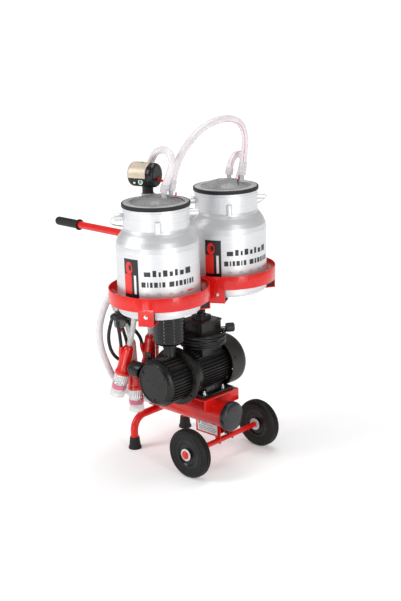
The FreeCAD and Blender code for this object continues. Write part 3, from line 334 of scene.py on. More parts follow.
def lathe(name, outline, origin, direction, surface, body, steps=96, closed=True, wave=None,
          sharp=SHARP, sweep=None):
    """Turned piece; outline is (radius, height) in mm, wave(angle, height) adds to the radius."""
    side, other = basis(direction)
    along = Vector(direction).normalized()
    first, last = sweep or (0, 2 * math.pi)
    loop = list(outline) + ([outline[0]] if closed else [])

    def spot(u, v):
        radius, height = loop[round(v * (len(loop) - 1))]
        angle = first + (last - first) * u
        if wave and radius > 0:
            radius += wave(angle, height)
        out = side * math.cos(angle) + other * math.sin(angle)
        return (Vector(origin) + out * radius + along * height) * MM

    points, faces = grid_faces(steps, len(loop) - 1, spot, wrap=sweep is None)
    if sweep and closed:
        rows, across = len(outline), steps + 1
        faces.append([row * across for row in range(rows)])
        faces.append([row * across + steps for row in reversed(range(rows))])
    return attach(mesh_object(name, points, faces, surface, sharp), body)


def block(name, centre, size, surface, body, bevel, axes=None):
    """Box with rounded edges; size and place in mm, axes is a matrix that turns it."""
    work = bmesh.new()
    bmesh.ops.create_cube(work, size=1)
    bmesh.ops.scale(work, verts=work.verts, vec=Vector(size))
    bmesh.ops.bevel(work, geom=work.edges[:], offset=bevel, segments=3, affect="EDGES")
    across = axes or Matrix.Identity(3)
    points = [(Vector(centre) + across @ v.co) * MM for v in work.verts]
    faces = [[v.index for v in face.verts] for face in work.faces]
    work.free()
    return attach(mesh_object(name, points, faces, surface), body)


def carried(points):
    """A side direction carried along a line without twisting it."""
    heading = (points[1] - points[0]).normalized()
    side, _ = basis(heading)
    sides = []
    for index in range(len(points)):
        before, after = points[max(index - 1, 0)], points[min(index + 1, len(points) - 1)]
        heading = (after - before).normalized()
        side = (side - heading * side.dot(heading)).normalized()
        sides.append((heading, side, heading.cross(side)))
    return sides


def tube(name, points, radius, surface, body, bore=0.0, sides=28, span=(0, 1), angles=None):
    """Round tube or bar along points in metres, or with angles an open band of it.

    The radius is in mm, or a function of the share of the length.
    """
    first, last = (round(share * (len(points) - 1)) for share in span)
    line = points[first:last + 1]
    frames = carried(points)[first:last + 1]
    start, end = angles or (0, 2 * math.pi)

    def ring(size, v):
        index = round(v * (len(line) - 1))
        _, side, other = frames[index]
        wide = size(v) if callable(size) else size
        return line[index], side, other, wide * MM

    def skin(size):
        def spot(u, v):
            centre, side, other, wide = ring(size, v)
            angle = start + (end - start) * u
            return centre + (side * math.cos(angle) + other * math.sin(angle)) * wide
        return spot

    rows = len(line) - 1
    wrap = angles is None
    points_out, faces = grid_faces(sides, rows, skin(radius), wrap=wrap)
    if not wrap:
        return mesh_object(name, points_out, faces, surface, BAND_SHARP)
    if bore:
        inner, inner_faces = grid_faces(sides, rows, skin(bore), wrap=True)
        shift = len(points_out)
        points_out += inner
        faces += [tuple(reversed([k + shift for k in face])) for face in inner_faces]
        for row in (0, rows):
            for i in range(sides):
                k = (i + 1) % sides
                faces.append((row * sides + i, row * sides + k, shift + row * sides + k,
                              shift + row * sides + i))
    else:
        faces.append(list(range(sides)))
        faces.append(list(range(rows * sides, (rows + 1) * sides)))
    made = mesh_object(name, points_out, faces, surface, TUBE_SHARP)
    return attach(made, body) if body else made


def spline_points(route, resolution=8):
    """Smooth line through a route's control points, in metres."""
    data = bpy.data.curves.new("route", "CURVE")
    data.dimensions = "3D"
    data.resolution_u = resolution
    line = data.splines.new("NURBS")
    line.points.add(len(route) - 1)
    for point, spot in zip(line.points, route):
        point.co = (*(Vector(spot) * MM), 1)
    line.order_u = 3
    line.use_endpoint_u = True
    curve = bpy.data.objects.new("route", data)
    bpy.context.scene.collection.objects.link(curve)
    bpy.context.view_layer.update()
    drawn = bpy.data.meshes.new_from_object(curve)
    points = [v.co.copy() for v in drawn.vertices]
    bpy.data.objects.remove(curve)
    bpy.data.meshes.remove(drawn)
    if (points[0] - Vector(route[0]) * MM).length > (points[-1] - Vector(route[0]) * MM).length:
        points.reverse()
    return points


def length_of(points):
    """Length along a line of points."""
    return sum((b - a).length for a, b in zip(points, points[1:]))


def wrapped(name, centre, angles, levels, surface, inset):
    """Thin sticker on a can between two angles (degrees) and two levels (mm)."""
    low, high = (math.radians(a) for a in angles)
    columns = max(int(abs(angles[1] - angles[0]) / 1.5), 2)

    def spot(u, v):
        angle = low + (high - low) * u
        out = Vector((math.cos(angle), math.sin(angle), 0)) * (CAN_RADIUS + inset)
        return (Vector((centre[0], centre[1], 0)) + out
                + Z * (levels[0] + (levels[1] - levels[0]) * v)) * MM
    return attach(mesh_object(name, *grid_faces(columns, 4, spot), surface), "cart")


def wrapped_disc(name, centre, angle, level, size, surface, inset=0.7, hole=0.0):
    """Thin round or oval sticker on a can; size is its half width and height."""
    def spot(u, v):
        turn = 2 * math.pi * u
        share = hole + (1 - hole) * v
        around = math.radians(angle) + size[0] * share * math.cos(turn) / CAN_RADIUS
        out = Vector((math.cos(around), math.sin(around), 0)) * (CAN_RADIUS + inset)
        return (Vector((centre[0], centre[1], level + size[1] * share * math.sin(turn)))
                + out) * MM
    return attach(mesh_object(name, *grid_faces(32, 3, spot, wrap=True), surface), "cart")


EDGE_ANGLE = math.radians(32)


def dress(names, surface, bevel=0.0):
    """Give CAD nodes a material, smooth shading and, where asked, softened edges."""
    for name in names:
        node = NODES[name]
        node.data.materials.clear()
        node.data.materials.append(surface)
        node.data.shade_smooth()
        if bevel:
            weld = node.modifiers.new("weld", "WELD")
            weld.merge_threshold = 2e-5
            edge = node.modifiers.new("edges", "BEVEL")
            edge.width = bevel * MM
            edge.segments = 2
            edge.limit_method = "ANGLE"
            edge.angle_limit = EDGE_ANGLE
            edge.harden_normals = True
        else:
            node.data.set_sharp_from_angle(angle=EDGE_ANGLE)


# ---- hoses and cables ----

CROSSOVER_ROUTE = ((340, -162, 1126.3), (341, -150, 1173), (342, -122, 1234), (342, -72, 1286),
                   (342, -12, 1328), (342, 54, 1352), (342, 118, 1361), (342, 180, 1357),
                   (342, 228, 1338), (342, 256, 1299), (342, 260, 1248), (343, 247, 1190),
                   (344, 234, 1126.3))
VACUUM_ROUTE = ((335, -196, 1126.3), (347, -194, 1162), (368, -189, 1204), (377, -184, 1246),
                (350, -175, 1275), (304, -163, 1280), (252, -151, 1261), (210, -137, 1220),
                (174, -115, 1168), (140, -86, 1096), (124, -79, 1008), (100, -90, 915),
                (78, -125, 830), (62, -175, 755), (45, -225, 690), (28, -262, 620),
                (18, -278, 545), (15, -272, 470), (12, -245, 400), (-4, -206, 335),
                (-22, -161, 278), (-18, -118, 228), (20, -92, 203), (65, -81, 201),
                (111.4, -79, 201))
MILK_ROUTE = ((292, 215, 1126.3), (294, 219, 1158), (288, 239, 1184), (276, 275, 1196),
              (260, 319, 1194), (240, 358, 1172), (222, 376, 1140), (206, 378, 1100),
              (184, 376, 1050), (166, 354, 990), (140, 322, 930), (106, 275, 868),
              (80, 207, 802), (64, 140, 740), (60, 82, 668), (70, 25, 604), (90, -40, 574),
              (106, -112, 577), (108, -186.2, 580))
HOSE_RADIUS, HOSE_BORE = 13.5, 9.5
CUFF_LENGTH, CUFF_RADIUS, CUFF_FLARE = 0.034, 16.6, 1.4
STRIPE_LIFT, STRIPE_HALF_ANGLE = 0.1, 0.07


def make_hose(name, node, route, body, stripe, blend=None):
    """Clear hose with its real wall, a coloured stripe and thicker ends over the stub pipes."""
    line = spline_points(route)
    hose = tube(name, line, HOSE_RADIUS, PVC, None, bore=HOSE_BORE)
    extras = []
    band = tube(name + "_stripe", line, HOSE_RADIUS + STRIPE_LIFT, STRIPE, None, sides=3,
                angles=(stripe - STRIPE_HALF_ANGLE, stripe + STRIPE_HALF_ANGLE))
    extras.append(band)
    sleeve = CUFF_LENGTH / length_of(line)

    def swell(v):
        return CUFF_RADIUS - CUFF_FLARE * abs(2 * v - 1) ** 4
    spans = [(0, sleeve)] + ([(1 - sleeve, 1)] if body == "near_lid" and not blend else [])
    for index, span in enumerate(spans):
        cuff = tube("%s_cuff_%d" % (name, index), line, swell, SOCKET, None, span=span,
                    bore=HOSE_RADIUS + 0.2)
        extras.append(cuff)
    for piece in [hose] + extras:
        if blend:
            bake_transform(piece)
        else:
            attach(piece, body)
    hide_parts(node)


def make_hoses():
    """Clear hoses between the lids, to the tank and to the claw."""
    make_hose("crossover_hose_clear", "crossover_hose", CROSSOVER_ROUTE, "near_lid",
              stripe=2.4)
    make_hose("vacuum_hose_clear", "vacuum_hose", VACUUM_ROUTE, "near_lid",
              blend=((0.06, -0.15, 0.30), (0.06, -0.15, 1.10)), stripe=3.6)
    make_hose("milk_hose_clear", "long_milk_hose", MILK_ROUTE, "far_lid",
              blend=((0.06, 0.1, 0.62), (0.06, 0.1, 1.10)), stripe=1.0)


CABLE_RADIUS = 3.6
BOX_X, CABLE_LEVEL = 322.5, 506


def make_power_cable():
    """Mains lead wound round the connection box, ending in its plug."""
    turns, per_turn = 8, 14
    route = [(BOX_X - 70, 0, CABLE_LEVEL), (BOX_X - 80, -4, CABLE_LEVEL + 1)]
    layers = ((88, 484), (99, 488), (90, 496), (102, 500), (87, 508), (98, 514), (88, 520),
              (100, 523), (95, 524))
    for turn, (here, after) in enumerate(zip(layers, layers[1:])):
        lean, lean_way = 9 + 4 * math.sin(turn * 2.1), turn * 2.4
        for step in range(per_turn):
            share = step / per_turn
            angle = math.radians(190) + 2 * math.pi * share
            ease = min(1, turn + share, turns - turn - share)
            wide = here[0] + (after[0] - here[0]) * share + 2.5 * math.sin(angle * 3 + turn)
            rise = here[1] + (after[1] - here[1]) * share
            rise += ease * lean * math.sin(angle + lean_way)
            route.append((BOX_X + wide * math.cos(angle), wide * math.sin(angle), rise))
    route += [(BOX_X - 90, -42, 523), (BOX_X - 60, -76, 525), (BOX_X - 8, -96, 526),
              (BOX_X + 48, -86, 527), (BOX_X + 86, -48, 528), (BOX_X + 97, 4, 529),
              (BOX_X + 86, 46, 532), (BOX_X + 60, 78, 537), (BOX_X + 50, 92, 544),
              (392.4, 86.5, 547)]
    line = spline_points(route, resolution=6)
    cable = tube("power_cable", line, CABLE_RADIUS, CABLE, "cart", sides=14)
    relief = lathe("cable_relief", [(4, 0), (7.5, 0), (7.5, 4), (6.4, 6), (6.4, 9), (5.6, 11),
                                    (5.6, 14), (4.8, 16), (4.8, 20), (3.9, 24)],
                   (BOX_X - 69, 0, CABLE_LEVEL), -X, BLACK_RUBBER, "cart", steps=24, closed=False)
    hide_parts("power_cable_coil", "power_cable_lead")
    round(length_of(line), 2)


# ---- cans and lids ----

def make_can_details(side, sign):
    """Weld beads and a generic printed panel on each can."""
    centre = (CAN_X, CAN_Y * sign)
    for index, (radius, level) in enumerate(((NECK_RADIUS, 1062), (NECK_RADIUS + 0.2, 993),
                                             (CAN_RADIUS, 919), (CAN_RADIUS, 678))):
        bead = [(radius - 0.4, level - 1.6), (radius + 0.5, level - 0.9), (radius + 0.8, level),
                (radius + 0.5, level + 0.9), (radius - 0.4, level + 1.6)]
        surface = WELD if index < 2 else ALUMINIUM
        lathe("bead_%s_%d" % (side, index), bead, (*centre, 0), Z, surface, "cart", steps=128,
              closed=False)
    shift = 0 if side == "near" else 16

    def sticker(name, angles, levels, surface, inset=0.35):
        wrapped("%s_%s" % (name, side), centre, (angles[0] + shift, angles[1] + shift), levels,
                surface, inset)
    sticker("panel_dark", (-96, -72), (748, 897), INK)
    wrapped_disc("panel_disc_" + side, centre, -87 + shift, 862, (16, 24), LABEL_RED)
    wrapped_disc("panel_disc_core_" + side, centre, -85 + shift, 864, (7, 12), INK, inset=0.9)
    sticker("panel_foot", (-96, -83), (762, 838), LABEL_RED, 0.7)
    sticker("panel_strip", (-79, -75.5), (764, 836), LABEL_WHITE, 0.7)
    wide = ((-64, 9), (-52, 5), (-44, 3), (-38, 6), (-29, 4.5), (-21.5, 4), (-14, 6), (-5, 9))
    for index, (start, reach) in enumerate(wide):
        sticker("bar_wide_%d" % index, (start, start + reach), (834, 852 + 6 * (index % 2)), INK)
    thin = ((-68, 6), (-60, 2), (-56, 3.5), (-50.5, 5), (-43.5, 2), (-39.5, 4), (-30, 7),
            (-21, 3.5), (-15.5, 5), (-8.5, 4), (-2.5, 2), (1.5, 4), (7, 3.5))
    for index, (start, reach) in enumerate(thin):
        sticker("bar_thin_%d" % index, (start, start + reach), (793, 813), INK)
    for index in range(4):
        wrapped_disc("mark_%s_%d" % (side, index), centre, -60 + 16 * index + shift, 767,
                     (6.5, 4.5), GREY_INK, hole=0.72)
    sticker("mark_bar", (-2, 8), (765, 770), LABEL_RED)


LID_TOP = [(0, 41), (15, 40.7), (30, 39.4), (45, 36.6), (58, 32.2), (69, 26.6), (78, 21), (85, 17),
           (92, 15.6), (104, 15.4), (124, 15.4), (126.2, 14.6), (126.3, 13)]


def make_lid(side, sign):
    """Clear domed lid with radial ribs and a pale rim, over the black gasket."""
    body = side + "_lid"
    centre = (CAN_X, CAN_Y * sign, NECK_TOP)
    under = [(r - (1.5 if r > 60 else 0), h - 3.4) for r, h in reversed(LID_TOP[:-3]) if r > 0]
    outline = LID_TOP + [(126.3, 12.2), (95, 12.2)] + under + [(0, 37.6)]
    dome = lathe("lid_dome_" + side, outline, centre, Z, CLEAR, body, steps=128, closed=False)
    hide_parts("lid_" + side)
    rim = [(101, 15.6), (104, 16.6), (122, 16.6), (124.5, 15.6)]
    lathe("lid_rim_" + side, rim, centre, Z, FROSTED, body, steps=128)
    for index in range(12):
        angle = math.radians(15 + 30 * index)
        out = Vector((math.cos(angle), math.sin(angle), 0))
        line = [(Vector(centre) + out * r + Z * (h + 0.2)) * MM for r, h in LID_TOP[2:9]]
        tube("lid_rib_%s_%d" % (side, index), line, 1.3, CLEAR, body, sides=10)
    spigots = {"near": ((340, -162), (335, -196)), "far": ((344, 234), (292, 215))}[side]
    for index, (x, y) in enumerate(spigots):
        stub = [(6.5, 0), (12.5, 0), (11.5, 6), (9, 10), (9, 34), (8.4, 36), (6.5, 36)]
        lathe("lid_stub_%s_%d" % (side, index), stub, (x, y, NECK_TOP + 30), Z, FROSTED, body,
              steps=32)


PULSATOR_SPOT = Vector((250.5, -196, 1183))
PULSATOR_REACH, PULSATOR_LENGTH = 66, 110


def make_lid_fittings():
    """Float, valve and neck seat of the near lid; a red nipple and a black wire on each lid."""
    valve = (253, -206, 1083)
    lathe("float_block", soften([(0, 0), (15, 0), (15, 17), (0, 17)], 3), (286, -212, 1084), Z,
          GLOSS_BLACK, "near_lid", steps=48, closed=False)
    lathe("valve_cup", soften([(0, 0), (13, 0), (13, 15), (9, 18), (0, 18)], 2),
          valve, Z, STEEL, "near_lid", steps=48, closed=False)
    for index, lift in enumerate((3, 8, 13)):
        lathe("valve_ring_%d" % index, [(12.5, lift), (14.2, lift + 1), (12.5, lift + 2)],
              valve, Z, STEEL, "near_lid", steps=40, closed=False)
    lathe("neck_seat", soften([(20.8, 0), (27, 0), (27, 5), (20.8, 8)], 1.2),
          (PULSATOR_SPOT.x, PULSATOR_SPOT.y, NECK_TOP + 36), Z, FROSTED, "near_lid", steps=48)
    for name, radius, surface, sides, route in (
            ("far_nipple", 3.4, LABEL_RED, 16,
             ((318, 246, 1103), (321, 243, 1112), (326, 238, 1121), (332, 234, 1128))),
            ("far_wire", 1.6, BLACK_RUBBER, 12,
             ((326, 226, 1106), (338, 214, 1109), (352, 202, 1104), (364, 190, 1094))),
            ("near_wire", 1.6, BLACK_RUBBER, 12,
             ((352, -176, 1106), (366, -160, 1105), (378, -146, 1098), (386, -138, 1089))),
            ("near_nipple", 3.2, LABEL_RED, 16,
             ((352, -150, 1106), (353, -149, 1112), (354, -149, 1119)))):
        body = name.split("_")[0] + "_lid"
        tube(name, spline_points(route), radius, surface, body, sides=sides)


def make_pulsator():
    """Drum pulsator: black body, beige cover plate, ribbed neck, red nipple and small marks."""
    body = "near_lid"
    turn = math.radians(16)
    axis = Vector((math.cos(turn), math.sin(turn), 0))
    side = Vector((-axis.y, axis.x, 0))
    middle = PULSATOR_SPOT
    start = middle - axis * PULSATOR_REACH
    outline = soften([(0, 0), (36, 0), (43, 5), (45.6, 13), (45.6, 82), (43.6, 84), (43.6, 88),
                      (46, 90), (46, 100), (42, 108), (34, PULSATOR_LENGTH),
                      (0, PULSATOR_LENGTH)], 3)
    drum = lathe("pulsator_drum", outline, start, axis, PULSATOR, body, closed=False)
    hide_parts("pulsator")
    # cover plate, slightly proud of the drum
    across, other = basis(axis)
    top_angle = math.atan2(Z.dot(other), Z.dot(across))
    plate = soften([(43, 3), (46.4, 9), (47.4, 16), (47.4, 80), (46.4, 82), (45.9, 82)], 0.8)
    lathe("pulsator_plate", plate, start, axis, BEIGE, body, steps=48,
          sweep=(top_angle - math.radians(98), top_angle + math.radians(98)))
    lathe("pulsator_plate_lip", [(47.3, 12), (48.3, 13.5), (48.3, 80), (47.3, 81)], start, axis,
          BEIGE, body, steps=4, sweep=(top_angle - math.radians(101),
                                       top_angle - math.radians(97)))
    neck = [(0, 0), (19, 0), (20.2, 1), (20.2, 34), (22, 38), (26, 47), (0, 47)]
    lathe("pulsator_neck", neck, (middle.x, middle.y, 1106), Z, PULSATOR, body, steps=72,
          closed=False, wave=lambda angle, height: 0.7 * math.cos(24 * angle) if height < 36
          else 0.0)
    lathe("pulsator_neck_ring", soften([(17, 0), (22, 0), (22, 6), (17, 6)], 1),
          (middle.x, middle.y, 1110), Z, RIM, body, steps=64)
    front = start + axis * 60 - side * 40 - Z * 21
    lathe("pulsator_badge", soften([(0, 0), (10, 0), (10, 3.5), (0, 3.5)], 0.8),
          front, -side, LABEL_WHITE, body, steps=48, closed=False)
    lathe("pulsator_badge_core", soften([(0, 3.2), (6.6, 3.2), (6.6, 4.1), (0, 4.1)], 0.4),
          front, -side, GREEN, body, steps=40, closed=False)
    lathe("pulsator_button", soften([(0, 0), (4, 0), (4, 5), (0, 5.6)], 0.8),
          start + axis * 34 - side * 39 - Z * 25, -side, LABEL_WHITE, body, steps=32,
          closed=False)
    lathe("pulsator_green", soften([(0, 0), (5, 0), (4.4, 2.4), (0, 2.4)], 0.6),
          start + axis * 52 + Z * 46.6 - side * 6, Z, GREEN, body, steps=32, closed=False)
    end = start + axis * PULSATOR_LENGTH
    for index, (across_by, up_by) in enumerate(((-22, 18), (18, 24), (20, -20), (-20, -22))):
        lathe("pulsator_screw_%d" % index, soften([(0, -1), (3.6, -1), (3.2, 1.2), (0, 1.2)], 0.4),
              end + side * across_by + Z * up_by, axis, GLOSS_BLACK, body, steps=24,
              closed=False)
    lathe("pulsator_nipple", [(2.4, 0), (4.6, 0), (4.6, 22), (5.2, 24), (4.4, 28), (2.4, 28)],
          (middle.x + 40, middle.y + 12, 1169), Vector((1, 0.1, -0.18)), LABEL_RED, body,
          steps=32)
    lathe("pulsator_port", soften([(0, 0), (9, 0), (9, 10), (0, 10)], 1),
          (middle.x + 34, middle.y + 9, 1171), Vector((1, 0.1, -0.18)), PULSATOR, body,
          steps=32, closed=False)


# ---- motor and pump ----

MOTOR_X, MOTOR_LEVEL, PUMP_Y = 315.5, 378, -176


def on_motor(radius, angle, y):
    """Point about the motor's axis; angle 0 is +X and 90 is up."""
    turn = math.radians(angle)
    return MOTOR_X + radius * math.cos(turn), y, MOTOR_LEVEL + radius * math.sin(turn)


def make_canister():
    """Glossy filter bowl with shallow moulded rings and a brass ring at its neck."""
    outline = soften([(12, 0), (46, 0), (57, 4), (63.4, 15), (63.4, 114), (58, 122), (0, 122)], 4)
    wall_foot, wall_top, pitch, depth, points_per_ring = 20, 113, 2.2, 0.9, 6
    wall = [(63.4 - depth * (0.5 - 0.5 * math.cos(2 * math.pi * step / points_per_ring)),
             wall_foot + step * pitch) for step in range(1, 43)]
    below = [spot for spot in outline if spot[1] < wall_foot]
    above = [spot for spot in outline if spot[1] > wall_top]
    bowl = lathe("filter_bowl", below + wall + above, (MOTOR_X, PUMP_Y, 523), Z, GLOSS_BLACK,
                 "cart", closed=False)
    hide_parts("filter_canister")
    lathe("bowl_neck_ring", soften([(24.8, 0), (28.5, 0), (28.5, 3), (24.8, 3)], 0.8),
          (MOTOR_X, PUMP_Y, 463), Z, BRASS, "cart", steps=48)
    lathe("bowl_neck_collar", soften([(24.8, 0), (27.5, 0), (27.5, 10), (24.8, 10)], 1.5),
          (MOTOR_X, PUMP_Y, 508), Z, MOTOR, "cart", steps=48)


def make_pump_details():
    """Painted slot shade, step and bolts of the pump cover, the bell's rim bolts and three case
    bolts.
    """
    face = -273.2
    # the slot is not cut: a darker gloss-black bar on the cover face is its painted shade
    block("pump_slot_shade", on_motor(20, 150, face), (58, 1.6, 2.4), GLOSS_BLACK, "cart", bevel=0.6,
          axes=Matrix.Rotation(math.radians(-14), 3, "Y"))
    lathe("pump_cover_step", soften([(72, 0), (80, 0), (79, 2.2), (73, 2.2)], 0.8),
          (MOTOR_X, -271.4, MOTOR_LEVEL), -Y, MOTOR, "cart")
    for index, angle in enumerate((12, 78, 132, 192, 258, 318)):
        lathe("cover_bolt_%d" % index, soften([(0, 0), (5, 0), (5, 3.4), (3.8, 4.6), (0, 4.6)],
                                              0.6), on_motor(82, angle, -264.5), -Y, GLOSS_BLACK,
              "cart", steps=6, closed=False, sharp=25)
    for index, angle in enumerate((-38, 22, 82, 142, 202, 262)):
        lathe("bell_bolt_%d" % index, soften([(0, 0), (6, 0), (6, 4), (4.6, 5.4), (0, 5.4)], 0.8),
              on_motor(108, angle, -150), -Y, MOTOR, "cart", steps=6, closed=False, sharp=25)
    for index, (angle, y) in enumerate(((-28, -96), (150, -96), (-28, 60))):
        lathe("case_bolt_%d" % index, soften([(0, -4), (8, -4), (8, 4), (6, 6), (0, 6)], 1),
              on_motor(92, angle, y), Vector((math.cos(math.radians(angle)), 0,
                                              math.sin(math.radians(angle)))), MOTOR, "cart",
              steps=24, closed=False)


def make_motor_details():
    """Cowl screws and seam, machined pedestal face, washers under the hold-down nuts."""
    for index, angle in enumerate((20, 110, 200, 290)):
        turn = math.radians(angle)
        lathe("cowl_screw_%d" % index, soften([(0, -1), (4, -1), (3.4, 1.6), (0, 1.8)], 0.5),
              on_motor(105, angle, 96), Vector((math.cos(turn), 0, math.sin(turn))), GLOSS_BLACK,
              "cart", steps=20, closed=False)
    lathe("cowl_seam", [(105.0, 0), (105.8, 1.2), (105.0, 2.4)], (MOTOR_X, 81, MOTOR_LEVEL), Y,
          COWL, "cart", steps=120, closed=False)
    block("pedestal_face", (363.4, 0, 306), (1.2, 52, 44), GREY_FACE, "cart", bevel=0.4)
    for index, (x, y) in enumerate(((258.5, -45), (372.5, -45), (258.5, 62), (372.5, 62))):
        lathe("foot_washer_%d" % index, soften([(4, 0), (12.5, 0), (12.5, 1.8), (4, 1.8)], 0.5),
              (x, y, 282), Z, ZINC, "cart", steps=40)


def make_box_details():
    """Screws and ribs of the connection box, the switch's dial ring and mark."""
    for index, (dx, dy) in enumerate(((-48, -48), (48, -48), (48, 48), (-48, 48))):
        lathe("box_screw_%d" % index, soften([(0, 0), (4.4, 0), (3.8, 2), (0, 2.2)], 0.5),
              (BOX_X + dx, dy, 582.8), Z, GLOSS_BLACK, "cart", steps=24, closed=False)
    lathe("dial_ring", soften([(18.5, 0), (22, 0), (21.4, 1.6), (19, 1.6)], 0.4),
          (BOX_X, 0, 599.6), Z, GREY_FACE, "cart", steps=48)
    block("knob_mark", (BOX_X + 13, 0, 624.6), (8, 1.6, 0.8), LABEL_WHITE, "switch", bevel=0.3)
    for index, x in enumerate((-40, 0, 40)):
        block("box_rib_%d" % index, (BOX_X + x, -55.6, 550), (4, 1.6, 40), BOX_PLASTIC, "cart",
              bevel=0.6)


# ---- cart details ----

WHEEL_X, WHEEL_Y, WHEEL_RADIUS, HUB_HALF = 438.5, 206, 100, 24


def make_wheel_details(side, sign):
    """Pale hub rings and fine lines round the tyre's side."""
    body = side + "_wheel"
    centre = (WHEEL_X, sign * (WHEEL_Y + HUB_HALF), WHEEL_RADIUS)
    face = Y * sign
    lathe("hub_ring_" + side, soften([(16.4, -1), (25, -1), (25, 1.6), (23, 2.6), (16.4, 2.6)],
                                     0.8), centre, face, HUB, body, steps=64)
    inner = (WHEEL_X, sign * (WHEEL_Y - HUB_HALF), WHEEL_RADIUS)
    lathe("hub_inner_" + side, soften([(11.4, -1), (25, -1), (25, 1.4), (22, 2.4), (11.4, 2.4)],
                                      0.8), inner, -face, HUB, body, steps=64)
    for index, (radius, depth) in enumerate(((58.8, 3.6), (83, -0.9))):
        ring = [(radius, -depth - 1), (radius + 1.6, -depth), (radius + 3.2, -depth - 1)]
        lathe("tyre_line_%s_%d" % (side, index), ring, centre, face, TYRE, body, steps=120,
              closed=False)


def make_grip():
    """Moulded grip: flared collar, finger ridges and a domed end."""
    stations = [(15.6, 0), (23, 0), (24, 1.5), (24, 6.5), (22, 10), (19.2, 14)]
    for step in range(1, 53):
        ridge = 1.3 * (0.5 - 0.5 * math.cos(2 * math.pi * step / 6))
        stations.append((17.7 + ridge, 14 + step * 2.3))
    stations += [(18.8, 137), (18, 143), (15.6, 147.5), (10, 149.6), (0, 150)]
    grip = lathe("grip_moulded", stations, (-388.5, 0, 869), -X, BLACK_RUBBER, "cart", steps=64,
                 closed=False)
    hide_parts("handle_grip")


def make_plate_label():
    """Generic data plate on the bracket: pale face, dark mark and rows of plain bars."""
    face = -40.3
    x0, x1, z0, z1 = 325, 433, 120, 164
    block("data_plate", ((x0 + x1) / 2, face - 0.5, (z0 + z1) / 2), (x1 - x0, 1, z1 - z0),
          LABEL_WHITE, "cart", bevel=0.3)
    block("data_mark", (x0 + 9, face - 1.1, z1 - 9), (5, 0.5, 12), INK, "cart", bevel=0.15)
    lines = ((20, 56, 6), (20, 84, 13), (8, 46, 22), (52, 96, 22), (8, 70, 29), (76, 102, 29),
             (8, 54, 36), (60, 98, 36))
    for index, (start, stop, down) in enumerate(lines):
        block("data_bar_%d" % index, (x0 + (start + stop) / 2, face - 1.1, z1 - down),
              (stop - start, 0.5, 2.2), GREY_INK, "cart", bevel=0.15)


def make_end_cap():
    """Domed black cap on the tank, with a rounded shoulder and a thin parting line."""
    outline = soften([(61, 0), (61, 14.5), (57, 21), (45, 25.6), (27, 28.2), (10, 28.9)], 6,
                     closed=False)
    start = (466, 0, 201)
    cap = lathe("end_cap_dome", [(57.6, 0)] + outline + [(0, 29)], start, X,
                END_CAP, "cart", closed=False)
    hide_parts("tank_end_cap")
    lathe("end_cap_line", [(60.8, 7), (61.4, 8), (60.8, 9)], start, X, END_CAP,
          "cart", closed=False)


def make_earth_wire():
    """Yellow earth wire tied to the column."""
    line = spline_points([(58, -18, 640), (60, -19, 560), (61, -17, 470), (60, -19, 380),
                          (61, -18, 300), (66, -20, 262)])
    tube("earth_wire", line, 2.3, YELLOW, "cart", sides=14)
    for index, level in enumerate((600, 500, 400, 310)):
        lathe("wire_tie_%d" % index, [(20.1, 0), (21.6, 0.6), (21.6, 3.2), (20.1, 3.8)],
              (42.5, 0, level), Z, BLACK_RUBBER, "cart", steps=48)


# ---- cluster ----

CLAW = (100, -237, 600)
CUPS = (((123, -215, 481), (80, -256, 270)), ((89, -166, 398), (95, -162, 183)),
        ((158, -128, 513), (147, -141, 300)), ((38, -128, 468), (36, -130, 254)))
NIPPLE_ANGLES = (10, 106, 58, 154)
MILK_TUBE_ROUTES = (
    ((158, -214, 590), (133, -205.6, 530), (123.4, -214.6, 483)),
    ((80, -166, 560), (88, -167, 450), (89, -166, 399.5)),
    ((150, -152, 605), (160, -125, 563), (158, -128, 515)),
    ((34, -180, 600), (38, -136, 535), (38, -128, 470)))
PULSE_TUBE_ROUTES = (
    ((116.2, -265.1, 590), (122, -262, 550), (115, -252, 512), (104, -240, 478)),
    ((74.4, -257, 590), (64, -270, 540), (62, -266, 480), (60, -243, 435), (64, -215, 408),
     (72, -193.5, 388)),
    ((128.1, -220.8, 590), (123, -200, 560), (129, -173, 528), (135, -160, 503),
     (136.5, -156, 478)),
    ((77, -214, 590), (62, -197, 560), (54, -178, 520), (51, -164, 484), (52, -158, 452)))
SHELL = [(0, 0), (12, 0), (17.5, 1.4), (20.6, 6), (22.2, 14), (23.2, 28), (24.6, 55), (26.2, 84),
         (27.2, 98), (28.6, 106), (30.6, 110.5), (31, 114), (31, 120), (30.2, 121.6), (0, 121.6)]
BAND = [(29, 164.2), (30.4, 164.6), (30.6, 166), (30.2, 174), (30.6, 182), (30.2, 184), (29, 184)]
MOUTHPIECE = [(27, 184.2), (29.4, 184.6), (28.4, 188), (28.6, 190.5), (30.6, 194), (31, 198),
              (31, 211), (30, 215), (26.5, 217), (15, 217), (13.5, 216), (13, 213), (13, 200),
              (22, 196), (23, 190), (23, 186)]


def ferrule_ribs(angle, height):
    """Ribs on the grip part of the steel sleeve."""
    return 0.9 * math.cos(22 * angle) if 125 < height < 161 else 0.0


